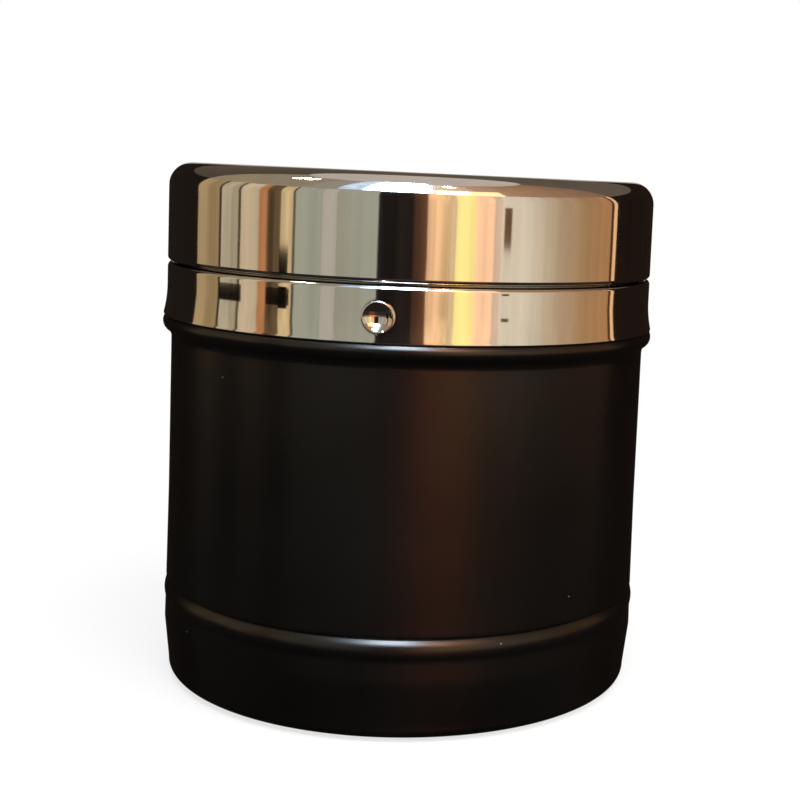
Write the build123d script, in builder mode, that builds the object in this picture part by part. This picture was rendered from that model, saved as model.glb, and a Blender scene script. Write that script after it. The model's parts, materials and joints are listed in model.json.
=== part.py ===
"""Drum-shaped table lighter with a hinged lid and a drop-in wick burner.

Millimetres, +Z up. The origin is on the drum's axis, in the underside of the foot pad.
The push button is at the front (-Y) and the lid's hinge is at the rear (+Y).
"""
from math import sqrt
import os

from build123d import *

os.makedirs("parts", exist_ok=True)

# ---------------------------------------------------------------- driving dimensions
drum_radius = 37.2           # collar and lid

# Drum, from the table up; the insets are taken off the drum's radius
pad_inset = 5.2              # foot pad
pad_thickness = 1.0
rim_height = 0.4             # the cup's lower edge stands this far off the table
foot_inset = 1.15            # where the cup's side meets its rounded lower edge
foot_corner = 1.3            # rounding of the cup's lower edge
waist_height = 8.5           # the cup's side is steeper below this height
waist_inset = 0.45
cup_floor = 1.2              # thickness of the cup's floor
cup_height = 14.8            # top of the cup's rolled lip, where the tube starts
lip_inset = 0.32             # the lip stands a little proud of the tube
lip_height = 2.9
lip_crown = 1.9              # the lip is widest this far below its top
lip_rounding = 0.75          # how far the lip's top runs in
throat_inset = 0.51          # the cup's side just under the lip
cup_lip_wall = 1.6           # from the lip's outside to the socket that takes the tube
cup_shoulder_wall = 1.0      # step inside the cup below the socket
tube_height = 40.5           # from the cup's lip to the collar
tube_inset = 0.7
tube_spread = 0.15           # the tube widens by this much towards its lower edge
tube_spread_height = 14.0
tube_edge = 0.4              # rounding of the tube's lower edge
tube_wall = 0.8
spigot_wall = 0.8            # the tube's lower end, set in to enter the cup
spigot_depth = 6.7           # how far it enters the cup

# Bead, collar and lid
bead_reach = 1.25            # the tube's rolled bead stands this far out from the tube
bead_height = 2.4
bead_crown = 1.25            # the bead is widest this far below its top
bead_return = 0.45           # how far the bead runs back at its top
neck_height = 1.2            # blend from the bead down to the tube's wall
neck_reach = 0.4
neck_blend = 2.2             # radius of the blend
collar_height = 7.8
collar_flare = 0.5           # the collar widens by this much at its lower edge
collar_flare_height = 4.4
collar_edge = 0.7            # rounding of the collar's top edge
collar_foot_edge = 0.15      # rounding of its lower edge
lid_gap = 0.25               # between the collar and the closed lid
lid_height = 14.65
lid_wall = 0.9
lid_corner = 3.4             # rounding of the lid's top edge
lid_edge = 0.6               # rounding of the lid's lower edge
liner_wall = 0.5
liner_lift = 0.6             # the liner ends this far above the lid's lower edge

# Ring inside the collar: joins tube and collar, guides the lid, carries the deck
ring_wall = 0.85
ring_depth = 5.3             # below the collar
ring_rise = 2.0              # above the collar, inside the lid
ring_edge = 0.3              # rounding of the ring's top
ledge_width = 2.9
ledge_thickness = 0.8
deck_rise = 0.7              # from the collar's lower edge to the deck's top
deck_thickness = 0.8

# Base weight and its screws
weight_height = 6.0
weight_edge = 0.6
base_screw_circle = 20.0
base_screw_radius = 1.25
base_screw_head = 2.2
base_screw_length = 6.0
screw_count = 3

# Deck screws
deck_screw_inset = 1.7       # from the deck's edge to the screws' axes
deck_screw_radius = 0.9
deck_screw_head = 1.4
deck_screw_head_height = 0.6
deck_screw_length = 2.4
slot_width = 0.5             # screwdriver slots
slot_depth = 0.35

# Burner: a flat-sided can that drops through the deck
can_length = 36.5
can_width = 12.2
can_height = 36.0
can_wall = 0.45
can_top_thickness = 0.6
can_stand_out = 1.0          # above the deck
sleeve_wall = 0.6

# Chimney over the wick, with ears for the flint wheel
chimney_x = -5.5
chimney_length = 15.5
chimney_width = 9.0
chimney_corner = 2.5
chimney_wall = 0.6
chimney_headroom = 2.35      # between the chimney and the lid's liner
vent_radius = 1.1
vent_column_pitch = 4.2
vent_row_pitch = 3.6
vent_first_row = 5.4         # lowest vents above the can
ear_height = 8.0
ear_reach = 4.9              # from the wheel's axis to the end of the ears
ear_corner = 2.6
spark_window_width = 5.4
spark_window_height = 9.0

# Flint wheel, flint and wick
wheel_x = 7.5
wheel_radius = 3.9
wheel_lift = 1.3             # between the wheel and the can
wheel_thickness = 5.4
wheel_hub_radius = 2.0
wheel_teeth = 32
tooth_depth = 0.35
axle_radius = 1.0
axle_head_radius = 1.7
axle_head_height = 0.5
flint_radius = 1.2
flint_length = 4.5
flint_tube_wall = 0.7
flint_tube_gap = 0.4         # between the tube and the wheel
flint_tube_lift = 1.8        # the tube's foot above the can's lower edge
flint_screw_head = 2.5
flint_screw_head_height = 1.0
flint_screw_shank = 3.0
flint_spring_wire = 0.15
flint_spring_turns = 16
wick_radius = 1.6
wick_stand_out = 9.0         # above the can
wick_lift = 4.2              # the wick's lower end above the felt
packing_layers = 4
felt_thickness = 2.6
felt_inset = 3.2             # from the can's lower edge to the felt's underside

# Button and the spring catch behind it
button_rise = 3.6            # from the collar's lower edge to the button's axis
button_radius = 2.2
button_stand = 1.35          # how far the button stands out of the collar
button_rim = 0.2             # flat edge round the button's dished face
button_dish = 0.8            # depth of the dish
button_stem = 1.15           # how far the stem stands in from the ring
clip_radius = 2.75
clip_thickness = 0.4
catch_width = 6.0
catch_thickness = 0.4
catch_gap = 0.15             # between the button's stem and the catch
catch_foot = 6.0
catch_rise = 4.5             # from the collar's top to the top of the catch
catch_reach = 1.15           # how far the hook stands out from the catch
strike_width = 8.0
strike_thickness = 0.45
strike_height = 4.4
strike_overlap = 0.7         # how far the strike lies under the hook
strike_gap = 0.15            # between the strike and the hook
catch_rivet_radius = 0.8
catch_rivet_head = 1.25
catch_rivet_spacing = 3.4

# Hinge
hinge_offset = 2.2           # pin's axis behind the lid's wall
knuckle_radius = 1.7
hinge_pin_radius = 0.8
collar_knuckle = 4.0         # length of each collar knuckle
lid_knuckle = 2.9            # length of each lid knuckle
spring_space = 6.0           # between the lid knuckles
knuckle_gap = 0.1
leaf_thickness = 0.8
leaf_height = 5.5
leaf_corner = 1.2
web_reach = 1.0              # how far a knuckle's web runs in past the knuckle
web_rise = 2.0               # and how far it runs along the leaf
pin_overhang = 0.5
lid_spring_wire = 0.25
lid_spring_turns = 6.5

# Clearances
fit = 0.05                   # pressed, soldered or screwed together
slide_fit = 0.08             # pieces that slide or turn on one another
loose_fit = 0.3              # drop-in pieces and soft pieces
probe = 0.01                 # tolerance when edges are picked by their height

# ---------------------------------------------------------------- worked out from these
pad_radius = drum_radius - pad_inset
foot_radius = drum_radius - foot_inset
waist_radius = drum_radius - waist_inset
lip_radius = drum_radius - lip_inset
throat_radius = drum_radius - throat_inset
tube_radius = drum_radius - tube_inset
tube_foot_radius = tube_radius + tube_spread
bead_radius = tube_radius + bead_reach
collar_bottom = cup_height + tube_height
collar_top = collar_bottom + collar_height
lid_bottom = collar_top + lid_gap
lid_top = lid_bottom + lid_height
bead_bottom = collar_bottom - bead_height
tube_bore = tube_radius - tube_wall
ring_outer = tube_bore - fit
ring_bore = ring_outer - ring_wall
deck_top = collar_bottom + deck_rise
deck_underside = deck_top - deck_thickness
deck_radius = ring_bore - 2 * fit
cup_floor_top = pad_thickness + cup_floor
cup_socket = lip_radius - cup_lip_wall
spigot_radius = cup_socket - fit
spigot_bore = spigot_radius - spigot_wall
cup_shoulder = cup_height - spigot_depth - loose_fit
cup_bore = cup_socket - cup_shoulder_wall
liner_radius = drum_radius - lid_wall - fit
liner_top = lid_top - lid_wall - fit
can_top = deck_top + can_stand_out
can_bottom = can_top - can_height
chimney_height = liner_top - liner_wall - chimney_headroom - can_top
felt_top = can_bottom + felt_inset + felt_thickness
wheel_z = can_top + wheel_lift + wheel_radius
ear_end_x = wheel_x + ear_reach
flint_top = wheel_z - wheel_radius - fit
flint_tube_radius = flint_radius + slide_fit + flint_tube_wall
flint_tube_foot = can_bottom + flint_tube_lift
flint_tube_top = wheel_z - wheel_radius - flint_tube_gap
button_z = collar_bottom + button_rise
button_end = ring_bore - button_stem
catch_y = -(button_end - catch_gap)
hinge_y = drum_radius + hinge_offset
hinge_z = collar_top + lid_gap / 2
leaf_radius = drum_radius + fit
spring_radius = hinge_pin_radius + slide_fit + 2 * lid_spring_wire
spring_room = spring_radius + lid_spring_wire + 2 * slide_fit


# ---------------------------------------------------------------- drum
with BuildPart() as foot_pad:
    Cylinder(pad_radius, pad_thickness, align=(Align.CENTER, Align.CENTER, Align.MIN))
foot_pad.part.label = "foot_pad"
export_step(foot_pad.part, "parts/foot_pad.step")

# Pressed cup: the lip at its top stands proud and its lower edge is rounded.
with BuildPart() as base_cup:
    with BuildSketch(Plane.XZ):
        with BuildLine():
            rim = Line((pad_radius + loose_fit, rim_height), (foot_radius - foot_corner, rim_height))
            corner = TangentArc(rim @ 1, (foot_radius, rim_height + foot_corner), tangent=rim % 1)
            flank = Line(corner @ 1, (waist_radius, waist_height))
            upper = Line(flank @ 1, (throat_radius, cup_height - lip_height))
            lip = ThreePointArc(
                upper @ 1,
                (lip_radius, cup_height - lip_crown),
                (lip_radius - lip_rounding, cup_height),
            )
            Polyline(
                lip @ 1,
                (cup_socket, cup_height),
                (cup_socket, cup_shoulder),
                (cup_bore, cup_shoulder),
                (cup_bore, cup_floor_top),
                (0, cup_floor_top),
                (0, pad_thickness),
                (pad_radius + loose_fit, pad_thickness),
                rim @ 0,
            )
        make_face()
    revolve(axis=Axis.Z)
    with PolarLocations(base_screw_circle, screw_count, start_angle=90):
        with Locations((0, 0, pad_thickness)):
            Cylinder(
                base_screw_radius + fit,
                cup_floor,
                align=(Align.CENTER, Align.CENTER, Align.MIN),
                mode=Mode.SUBTRACT,
            )
            Cone(
                base_screw_head + fit,
                base_screw_radius + fit,
                base_screw_head - base_screw_radius,
                align=(Align.CENTER, Align.CENTER, Align.MIN),
                mode=Mode.SUBTRACT,
            )
base_cup.part.label = "base_cup"
export_step(base_cup.part, "parts/base_cup.step")

with BuildPart() as base_weight:
    with BuildSketch(Plane.XY.offset(cup_floor_top)):
        Circle(cup_bore - loose_fit)
        with PolarLocations(base_screw_circle, screw_count, start_angle=90):
            Circle(base_screw_radius + fit, mode=Mode.SUBTRACT)
    extrude(amount=weight_height)
    chamfer(base_weight.edges().group_by(Axis.Z)[-1].sort_by(SortBy.LENGTH)[-1], length=weight_edge)
base_weight.part.label = "base_weight"
export_step(base_weight.part, "parts/base_weight.step")

with BuildPart() as base_screws:
    with PolarLocations(base_screw_circle, screw_count, start_angle=90):
        with Locations((0, 0, pad_thickness)):
            Cone(
                base_screw_head,
                base_screw_radius,
                base_screw_head - base_screw_radius,
                align=(Align.CENTER, Align.CENTER, Align.MIN),
            )
            Cylinder(
                base_screw_radius,
                base_screw_length,
                align=(Align.CENTER, Align.CENTER, Align.MIN),
            )
            Box(
                2 * base_screw_head,
                slot_width,
                slot_depth,
                align=(Align.CENTER, Align.CENTER, Align.MIN),
                mode=Mode.SUBTRACT,
            )
base_screws.part.label = "base_screws"
export_step(base_screws.part, "parts/base_screws.step")

# Drawn tube: joggled in at the bottom to enter the cup, rolled outwards in a bead at the top.
with BuildPart() as body_tube:
    with BuildSketch(Plane.XZ):
        with BuildLine():
            lower_edge = RadiusArc(
                (tube_foot_radius - tube_edge, cup_height),
                (tube_foot_radius, cup_height + tube_edge),
                -tube_edge,
            )
            lower_wall = Line(lower_edge @ 1, (tube_radius, cup_height + tube_spread_height))
            wall = Line(lower_wall @ 1, (tube_radius, bead_bottom - neck_height))
            neck = RadiusArc(wall @ 1, (tube_radius + neck_reach, bead_bottom), neck_blend)
            bead = ThreePointArc(
                neck @ 1,
                (bead_radius, collar_bottom - bead_crown),
                (bead_radius - bead_return, collar_bottom),
            )
            Polyline(
                bead @ 1,
                (tube_bore, collar_bottom),
                (tube_bore, cup_height + tube_wall),
                (spigot_bore, cup_height + tube_wall),
                (spigot_bore, cup_height - spigot_depth),
                (spigot_radius, cup_height - spigot_depth),
                (spigot_radius, cup_height),
                lower_edge @ 0,
            )
        make_face()
    revolve(axis=Axis.Z)
body_tube.part.label = "body_tube"
export_step(body_tube.part, "parts/body_tube.step")

with BuildPart() as collar_ring:
    with BuildSketch(Plane.XZ):
        with BuildLine():
            side = Line(
                (drum_radius, collar_top - collar_edge),
                (drum_radius, collar_bottom + collar_flare_height),
            )
            flare = TangentArc(
                side @ 1,
                (drum_radius + collar_flare, collar_bottom + collar_foot_edge),
                tangent=side % 1,
            )
            lower = RadiusArc(
                flare @ 1,
                (drum_radius + collar_flare - collar_foot_edge, collar_bottom),
                collar_foot_edge,
            )
            Polyline(
                lower @ 1,
                (tube_bore, collar_bottom),
                (tube_bore, collar_top),
                (drum_radius - collar_edge, collar_top),
            )
            RadiusArc((drum_radius - collar_edge, collar_top), side @ 0, collar_edge)
        make_face()
    revolve(axis=Axis.Z)
    with BuildSketch(Plane.XZ.offset(tube_bore - 2 * tube_wall)):
        with Locations((0, button_z)):
            Circle(button_radius + slide_fit)
    extrude(amount=4 * tube_wall + collar_flare, mode=Mode.SUBTRACT)
collar_ring.part.label = "collar_ring"
export_step(collar_ring.part, "parts/collar_ring.step")

# Inner ring: pressed into tube and collar, with a ledge for the deck.
with BuildPart() as guide_ring:
    with BuildSketch(Plane.XZ):
        with BuildLine():
            Polyline(
                (ring_outer, collar_bottom - ring_depth),
                (ring_outer, collar_top + ring_rise),
                (ring_bore, collar_top + ring_rise),
                (ring_bore, deck_underside),
                (ring_bore - ledge_width, deck_underside),
                (ring_bore - ledge_width, deck_underside - ledge_thickness),
                (ring_bore, deck_underside - ledge_thickness),
                (ring_bore, collar_bottom - ring_depth),
                close=True,
            )
        make_face()
    revolve(axis=Axis.Z)
    fillet(guide_ring.edges().group_by(Axis.Z)[-1], radius=ring_edge)
    with BuildSketch(Plane.XZ.offset(ring_bore - tube_wall)):
        with Locations((0, button_z)):
            Circle(button_radius + slide_fit)
    extrude(amount=3 * tube_wall, mode=Mode.SUBTRACT)
    with BuildSketch(Plane.XY.offset(deck_underside)):
        with PolarLocations(deck_radius - deck_screw_inset, screw_count, start_angle=90):
            Circle(deck_screw_radius + fit)
    extrude(amount=-ledge_thickness, mode=Mode.SUBTRACT)
guide_ring.part.label = "guide_ring"
export_step(guide_ring.part, "parts/guide_ring.step")

with BuildPart() as deck_plate:
    with BuildSketch(Plane.XY.offset(deck_underside)):
        Circle(deck_radius)
        SlotOverall(can_length + 2 * loose_fit, can_width + 2 * loose_fit, mode=Mode.SUBTRACT)
        with PolarLocations(deck_radius - deck_screw_inset, screw_count, start_angle=90):
            Circle(deck_screw_radius + fit, mode=Mode.SUBTRACT)
        with GridLocations(catch_rivet_spacing, 1, 2, 1):
            with Locations((0, catch_y + catch_foot / 2)):
                Circle(catch_rivet_radius + fit, mode=Mode.SUBTRACT)
    extrude(amount=deck_thickness)
deck_plate.part.label = "deck_plate"
export_step(deck_plate.part, "parts/deck_plate.step")

with BuildPart() as deck_screws:
    with PolarLocations(deck_radius - deck_screw_inset, screw_count, start_angle=90):
        with Locations((0, 0, deck_top)):
            Cylinder(
                deck_screw_head,
                deck_screw_head_height,
                align=(Align.CENTER, Align.CENTER, Align.MIN),
            )
            Cylinder(
                deck_screw_radius,
                deck_screw_length,
                align=(Align.CENTER, Align.CENTER, Align.MAX),
            )
        with Locations((0, 0, deck_top + deck_screw_head_height)):
            Box(
                slot_width,
                2 * deck_screw_head,
                slot_depth,
                align=(Align.CENTER, Align.CENTER, Align.MAX),
                mode=Mode.SUBTRACT,
            )
deck_screws.part.label = "deck_screws"
export_step(deck_screws.part, "parts/deck_screws.step")

# Sleeve under the deck that the burner drops into.
with BuildPart() as burner_sleeve:
    with BuildSketch(Plane.XY.offset(can_bottom - sleeve_wall)):
        SlotOverall(
            can_length + 2 * (loose_fit + sleeve_wall), can_width + 2 * (loose_fit + sleeve_wall)
        )
    extrude(amount=deck_underside - can_bottom + sleeve_wall)
    with BuildSketch(Plane.XY.offset(can_bottom)):
        SlotOverall(can_length + 2 * loose_fit, can_width + 2 * loose_fit)
    extrude(amount=deck_underside - can_bottom, mode=Mode.SUBTRACT)
burner_sleeve.part.label = "burner_sleeve"
export_step(burner_sleeve.part, "parts/burner_sleeve.step")

# ---------------------------------------------------------------- burner
with BuildPart() as burner_can:
    with BuildSketch(Plane.XY.offset(can_bottom)):
        SlotOverall(can_length, can_width)
    extrude(amount=can_height)
    fillet(burner_can.edges().group_by(Axis.Z)[-1], radius=can_wall)
    with BuildSketch(Plane.XY.offset(can_bottom)):
        SlotOverall(can_length - 2 * can_wall, can_width - 2 * can_wall)
    extrude(amount=can_height - can_top_thickness, mode=Mode.SUBTRACT)
    with BuildSketch(Plane.XY.offset(can_top)):
        with Locations((chimney_x, 0)):
            Circle(wick_radius + slide_fit)
        with Locations((wheel_x, 0)):
            Circle(flint_tube_radius + fit)
    extrude(amount=-2 * can_top_thickness, mode=Mode.SUBTRACT)
burner_can.part.label = "burner_can"
export_step(burner_can.part, "parts/burner_can.step")

with BuildPart() as chimney:
    with BuildSketch(Plane.XY.offset(can_top)):
        with Locations((chimney_x, 0)):
            RectangleRounded(chimney_length, chimney_width, chimney_corner)
    extrude(amount=chimney_height)
    # The ears run on from the chimney's two broad walls.
    with BuildSketch(Plane.XZ.offset(-chimney_width / 2)) as ear_outline:
        with BuildLine():
            Polyline(
                (chimney_x, can_top),
                (ear_end_x, can_top),
                (ear_end_x, can_top + ear_height),
                (chimney_x, can_top + ear_height),
                close=True,
            )
        make_face()
        fillet(ear_outline.vertices().sort_by(Axis((0, 0, 0), (1, 0, 1)))[-1], radius=ear_corner)
    extrude(amount=chimney_width)
    with BuildSketch(Plane.XY.offset(can_top)):
        with Locations((chimney_x, 0)):
            RectangleRounded(
                chimney_length - 2 * chimney_wall,
                chimney_width - 2 * chimney_wall,
                chimney_corner - chimney_wall,
            )
    extrude(amount=chimney_height, mode=Mode.SUBTRACT)
    # Clear the space between the ears, past their open end.
    with BuildSketch(Plane.XY.offset(can_top)):
        with Locations((chimney_x + chimney_length / 2, 0)):
            Rectangle(
                2 * (ear_end_x - chimney_x),
                chimney_width - 2 * chimney_wall,
                align=(Align.MIN, Align.CENTER),
            )
    extrude(amount=ear_height, mode=Mode.SUBTRACT)
    # Window in the wall beside the wheel, for the sparks.
    with BuildSketch(Plane.XY.offset(can_top)):
        with Locations((chimney_x + chimney_length / 2, 0)):
            Rectangle(4 * chimney_wall, spark_window_width)
    extrude(amount=spark_window_height, mode=Mode.SUBTRACT)
    # Vents: two outer columns of three, a middle column of two set half a pitch up.
    with BuildSketch(Plane.XZ.offset(-chimney_width)):
        with Locations((chimney_x, can_top + vent_first_row + vent_row_pitch)):
            with GridLocations(2 * vent_column_pitch, vent_row_pitch, 2, 3):
                Circle(vent_radius)
            with GridLocations(1, vent_row_pitch, 1, 2):
                Circle(vent_radius)
    extrude(amount=2 * chimney_width, mode=Mode.SUBTRACT)
    with BuildSketch(Plane.XZ.offset(-chimney_width)):
        with Locations((wheel_x, wheel_z)):
            Circle(axle_radius + fit)
    extrude(amount=2 * chimney_width, mode=Mode.SUBTRACT)
chimney.part.label = "chimney"
export_step(chimney.part, "parts/chimney.step")

# Rivet through both ears; the wheel turns on it.
with BuildPart() as wheel_axle:
    with BuildSketch(Plane.XZ.offset(-chimney_width / 2)):
        with Locations((wheel_x, wheel_z)):
            Circle(axle_radius)
    extrude(amount=chimney_width)
    for head_start in (chimney_width / 2, -chimney_width / 2 - axle_head_height):
        with BuildSketch(Plane.XZ.offset(head_start)):
            with Locations((wheel_x, wheel_z)):
                Circle(axle_head_radius)
        extrude(amount=axle_head_height)
wheel_axle.part.label = "wheel_axle"
export_step(wheel_axle.part, "parts/wheel_axle.step")

with BuildPart() as flint_wheel:
    with BuildSketch(Plane.XZ.offset(-wheel_thickness / 2)):
        with Locations((wheel_x, wheel_z)):
            Circle(wheel_radius)
            with PolarLocations(wheel_radius, wheel_teeth):
                Rectangle(2 * tooth_depth, tooth_depth, rotation=45, mode=Mode.SUBTRACT)
    extrude(amount=wheel_thickness)
    with BuildSketch(Plane.XZ.offset(-(chimney_width / 2 - chimney_wall - slide_fit))):
        with Locations((wheel_x, wheel_z)):
            Circle(wheel_hub_radius)
    extrude(amount=chimney_width - 2 * (chimney_wall + slide_fit))
    with BuildSketch(Plane.XZ.offset(-chimney_width)):
        with Locations((wheel_x, wheel_z)):
            Circle(axle_radius + slide_fit)
    extrude(amount=2 * chimney_width, mode=Mode.SUBTRACT)
flint_wheel.part.label = "flint_wheel"
export_step(flint_wheel.part, "parts/flint_wheel.step")

with BuildPart() as flint_tube:
    with BuildSketch(Plane.XY.offset(flint_tube_foot)):
        with Locations((wheel_x, 0)):
            Circle(flint_tube_radius)
            Circle(flint_radius + slide_fit, mode=Mode.SUBTRACT)
    extrude(amount=flint_tube_top - flint_tube_foot)
flint_tube.part.label = "flint_tube"
export_step(flint_tube.part, "parts/flint_tube.step")

with BuildPart() as flint:
    with BuildSketch(Plane.XY.offset(flint_top - flint_length)):
        with Locations((wheel_x, 0)):
            Circle(flint_radius)
    extrude(amount=flint_length)
flint.part.label = "flint"
export_step(flint.part, "parts/flint.step")

with BuildPart() as flint_screw:
    with BuildSketch(Plane.XY.offset(flint_tube_foot)):
        with Locations((wheel_x, 0)):
            Circle(flint_screw_head)
    extrude(amount=-flint_screw_head_height)
    with BuildSketch(Plane.XY.offset(flint_tube_foot)):
        with Locations((wheel_x, 0)):
            Circle(flint_radius)
    extrude(amount=flint_screw_shank)
    with BuildSketch(Plane.XY.offset(flint_tube_foot - flint_screw_head_height)):
        with Locations((wheel_x, 0)):
            Rectangle(2 * flint_screw_head, slot_width)
    extrude(amount=slot_depth, mode=Mode.SUBTRACT)
flint_screw.part.label = "flint_screw"
export_step(flint_screw.part, "parts/flint_screw.step")

flint_spring_bottom = flint_tube_foot + flint_screw_shank + fit + flint_spring_wire
flint_spring_length = flint_top - flint_length - fit - flint_spring_wire - flint_spring_bottom
flint_spring_radius = flint_radius - 2 * flint_spring_wire
with BuildPart() as flint_spring:
    with BuildLine() as flint_coil:
        Helix(
            flint_spring_length / flint_spring_turns,
            flint_spring_length,
            flint_spring_radius,
            center=(wheel_x, 0, flint_spring_bottom),
        )
    with BuildSketch(Plane(origin=flint_coil.line @ 0, z_dir=flint_coil.line % 0)):
        Circle(flint_spring_wire)
    sweep()
flint_spring.part.label = "flint_spring"
export_step(flint_spring.part, "parts/flint_spring.step")

with BuildPart() as wick:
    with BuildSketch(Plane.XY.offset(felt_top + wick_lift)):
        with Locations((chimney_x, 0)):
            Circle(wick_radius)
    extrude(amount=can_top + wick_stand_out - felt_top - wick_lift)
wick.part.label = "wick"
export_step(wick.part, "parts/wick.step")

# Absorbent pads stacked in the can, round the wick and the flint tube.
packing_bottom = felt_top + loose_fit
packing_space = can_top - can_top_thickness - loose_fit - packing_bottom
packing_pitch = (packing_space + loose_fit) / packing_layers
packing_length = can_length - 2 * (can_wall + loose_fit)
packing_width = can_width - 2 * (can_wall + loose_fit)
with BuildPart() as packing:
    for layer in range(packing_layers):
        with BuildSketch(Plane.XY.offset(packing_bottom + layer * packing_pitch)):
            SlotOverall(packing_length, packing_width)
            with Locations((chimney_x, 0)):
                Circle(wick_radius + loose_fit, mode=Mode.SUBTRACT)
            with Locations((wheel_x, 0)):
                Circle(flint_tube_radius + loose_fit, mode=Mode.SUBTRACT)
        extrude(amount=packing_pitch - loose_fit)
packing.part.label = "packing"
export_step(packing.part, "parts/packing.step")

with BuildPart() as felt_pad:
    with BuildSketch(Plane.XY.offset(can_bottom + felt_inset)):
        SlotOverall(packing_length, packing_width)
        with Locations((wheel_x, 0)):
            Circle(flint_tube_radius + loose_fit, mode=Mode.SUBTRACT)
    extrude(amount=felt_thickness)
felt_pad.part.label = "felt_pad"
export_step(felt_pad.part, "parts/felt_pad.step")

# ---------------------------------------------------------------- button and catch
button_face = drum_radius + collar_flare / 2 + button_stand
dish_radius = button_radius - button_rim
dish_sphere = (dish_radius**2 + button_dish**2) / (2 * button_dish)
clip_outer_y = sqrt(ring_bore**2 - clip_radius**2) - loose_fit / 2

with BuildPart() as push_button:
    with BuildSketch(Plane.YZ):
        with BuildLine():
            dish_centre = (-button_face + button_dish, button_z)
            dish_edge = (-button_face, button_z + dish_radius)
            RadiusArc(dish_centre, dish_edge, -dish_sphere)
            Polyline(
                dish_edge,
                (-button_face, button_z + button_radius),
                (-clip_outer_y, button_z + button_radius),
                (-clip_outer_y, button_z + button_radius / 2),
                (-clip_outer_y + clip_thickness + fit, button_z + button_radius / 2),
                (-clip_outer_y + clip_thickness + fit, button_z + button_radius),
                (-button_end, button_z + button_radius),
                (-button_end, button_z),
                dish_centre,
            )
        make_face()
    revolve(axis=Axis((0, 0, button_z), (0, 1, 0)))
push_button.part.label = "push_button"
export_step(push_button.part, "parts/push_button.step")

# Retaining clip in the button's groove, open at the bottom.
with BuildPart() as button_clip:
    with BuildSketch(Plane.XZ.offset(clip_outer_y - fit / 2 - clip_thickness)):
        with Locations((0, button_z)):
            Circle(clip_radius)
            Circle(button_radius / 2 + fit, mode=Mode.SUBTRACT)
            Rectangle(
                button_radius,
                2 * clip_radius,
                align=(Align.CENTER, Align.MAX),
                mode=Mode.SUBTRACT,
            )
    extrude(amount=clip_thickness)
button_clip.part.label = "button_clip"
export_step(button_clip.part, "parts/button_clip.step")

# Spring steel catch: a foot on the deck, an upright behind the button, a hook over the strike.
hook_underside = collar_top + catch_rise - catch_thickness
with BuildPart() as spring_catch:
    with BuildSketch(Plane.YZ.offset(-catch_width / 2)):
        with BuildLine():
            Polyline(
                (catch_y + catch_foot, deck_top),
                (catch_y, deck_top),
                (catch_y, hook_underside),
                (catch_y - catch_reach, hook_underside),
                (catch_y - catch_reach, hook_underside + catch_thickness),
                (catch_y + catch_thickness, hook_underside + catch_thickness),
                (catch_y + catch_thickness, deck_top + catch_thickness),
                (catch_y + catch_foot, deck_top + catch_thickness),
                close=True,
            )
        make_face()
    extrude(amount=catch_width)
    with BuildSketch(Plane.XY.offset(deck_top)):
        with GridLocations(catch_rivet_spacing, 1, 2, 1):
            with Locations((0, catch_y + catch_foot / 2)):
                Circle(catch_rivet_radius + fit)
    extrude(amount=catch_thickness, mode=Mode.SUBTRACT)
spring_catch.part.label = "spring_catch"
export_step(spring_catch.part, "parts/spring_catch.step")

with BuildPart() as catch_rivets:
    with GridLocations(catch_rivet_spacing, 1, 2, 1):
        with Locations((0, catch_y + catch_foot / 2, deck_underside)):
            Cylinder(
                catch_rivet_radius,
                deck_thickness + catch_thickness,
                align=(Align.CENTER, Align.CENTER, Align.MIN),
            )
            Cylinder(
                catch_rivet_head,
                catch_thickness,
                align=(Align.CENTER, Align.CENTER, Align.MAX),
            )
        with Locations((0, catch_y + catch_foot / 2, deck_top + catch_thickness)):
            Cylinder(
                catch_rivet_head,
                catch_thickness,
                align=(Align.CENTER, Align.CENTER, Align.MIN),
            )
catch_rivets.part.label = "catch_rivets"
export_step(catch_rivets.part, "parts/catch_rivets.step")

# ---------------------------------------------------------------- lid
with BuildPart() as lid_shell:
    with BuildSketch(Plane.XY.offset(lid_bottom)):
        Circle(drum_radius)
    extrude(amount=lid_top - lid_bottom)
    fillet(lid_shell.edges().group_by(Axis.Z)[0], radius=lid_edge)
    with BuildSketch(Plane.XY.offset(lid_bottom)):
        Circle(drum_radius - lid_wall)
    extrude(amount=lid_top - lid_wall - lid_bottom, mode=Mode.SUBTRACT)
    inner_corner = lid_shell.edges().filter_by(GeomType.CIRCLE)
    inner_corner = inner_corner.filter_by(lambda e: abs(e.center().Z - (lid_top - lid_wall)) < probe)
    fillet(inner_corner, radius=lid_corner - lid_wall)
    fillet(lid_shell.edges().group_by(Axis.Z)[-1], radius=lid_corner)
lid_shell.part.label = "lid_shell"
export_step(lid_shell.part, "parts/lid_shell.step")

with BuildPart() as lid_liner:
    with BuildSketch(Plane.XY.offset(lid_bottom + liner_lift)):
        Circle(liner_radius)
    extrude(amount=liner_top - lid_bottom - liner_lift)
    with BuildSketch(Plane.XY.offset(lid_bottom + liner_lift)):
        Circle(liner_radius - liner_wall)
    extrude(amount=liner_top - liner_wall - lid_bottom - liner_lift, mode=Mode.SUBTRACT)
    inner_corner = lid_liner.edges().filter_by(GeomType.CIRCLE)
    inner_corner = inner_corner.filter_by(lambda e: abs(e.center().Z - (liner_top - liner_wall)) < probe)
    fillet(inner_corner, radius=lid_corner - lid_wall - liner_wall)
    fillet(lid_liner.edges().group_by(Axis.Z)[-1], radius=lid_corner - lid_wall)
lid_liner.part.label = "lid_liner"
export_step(lid_liner.part, "parts/lid_liner.step")

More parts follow.
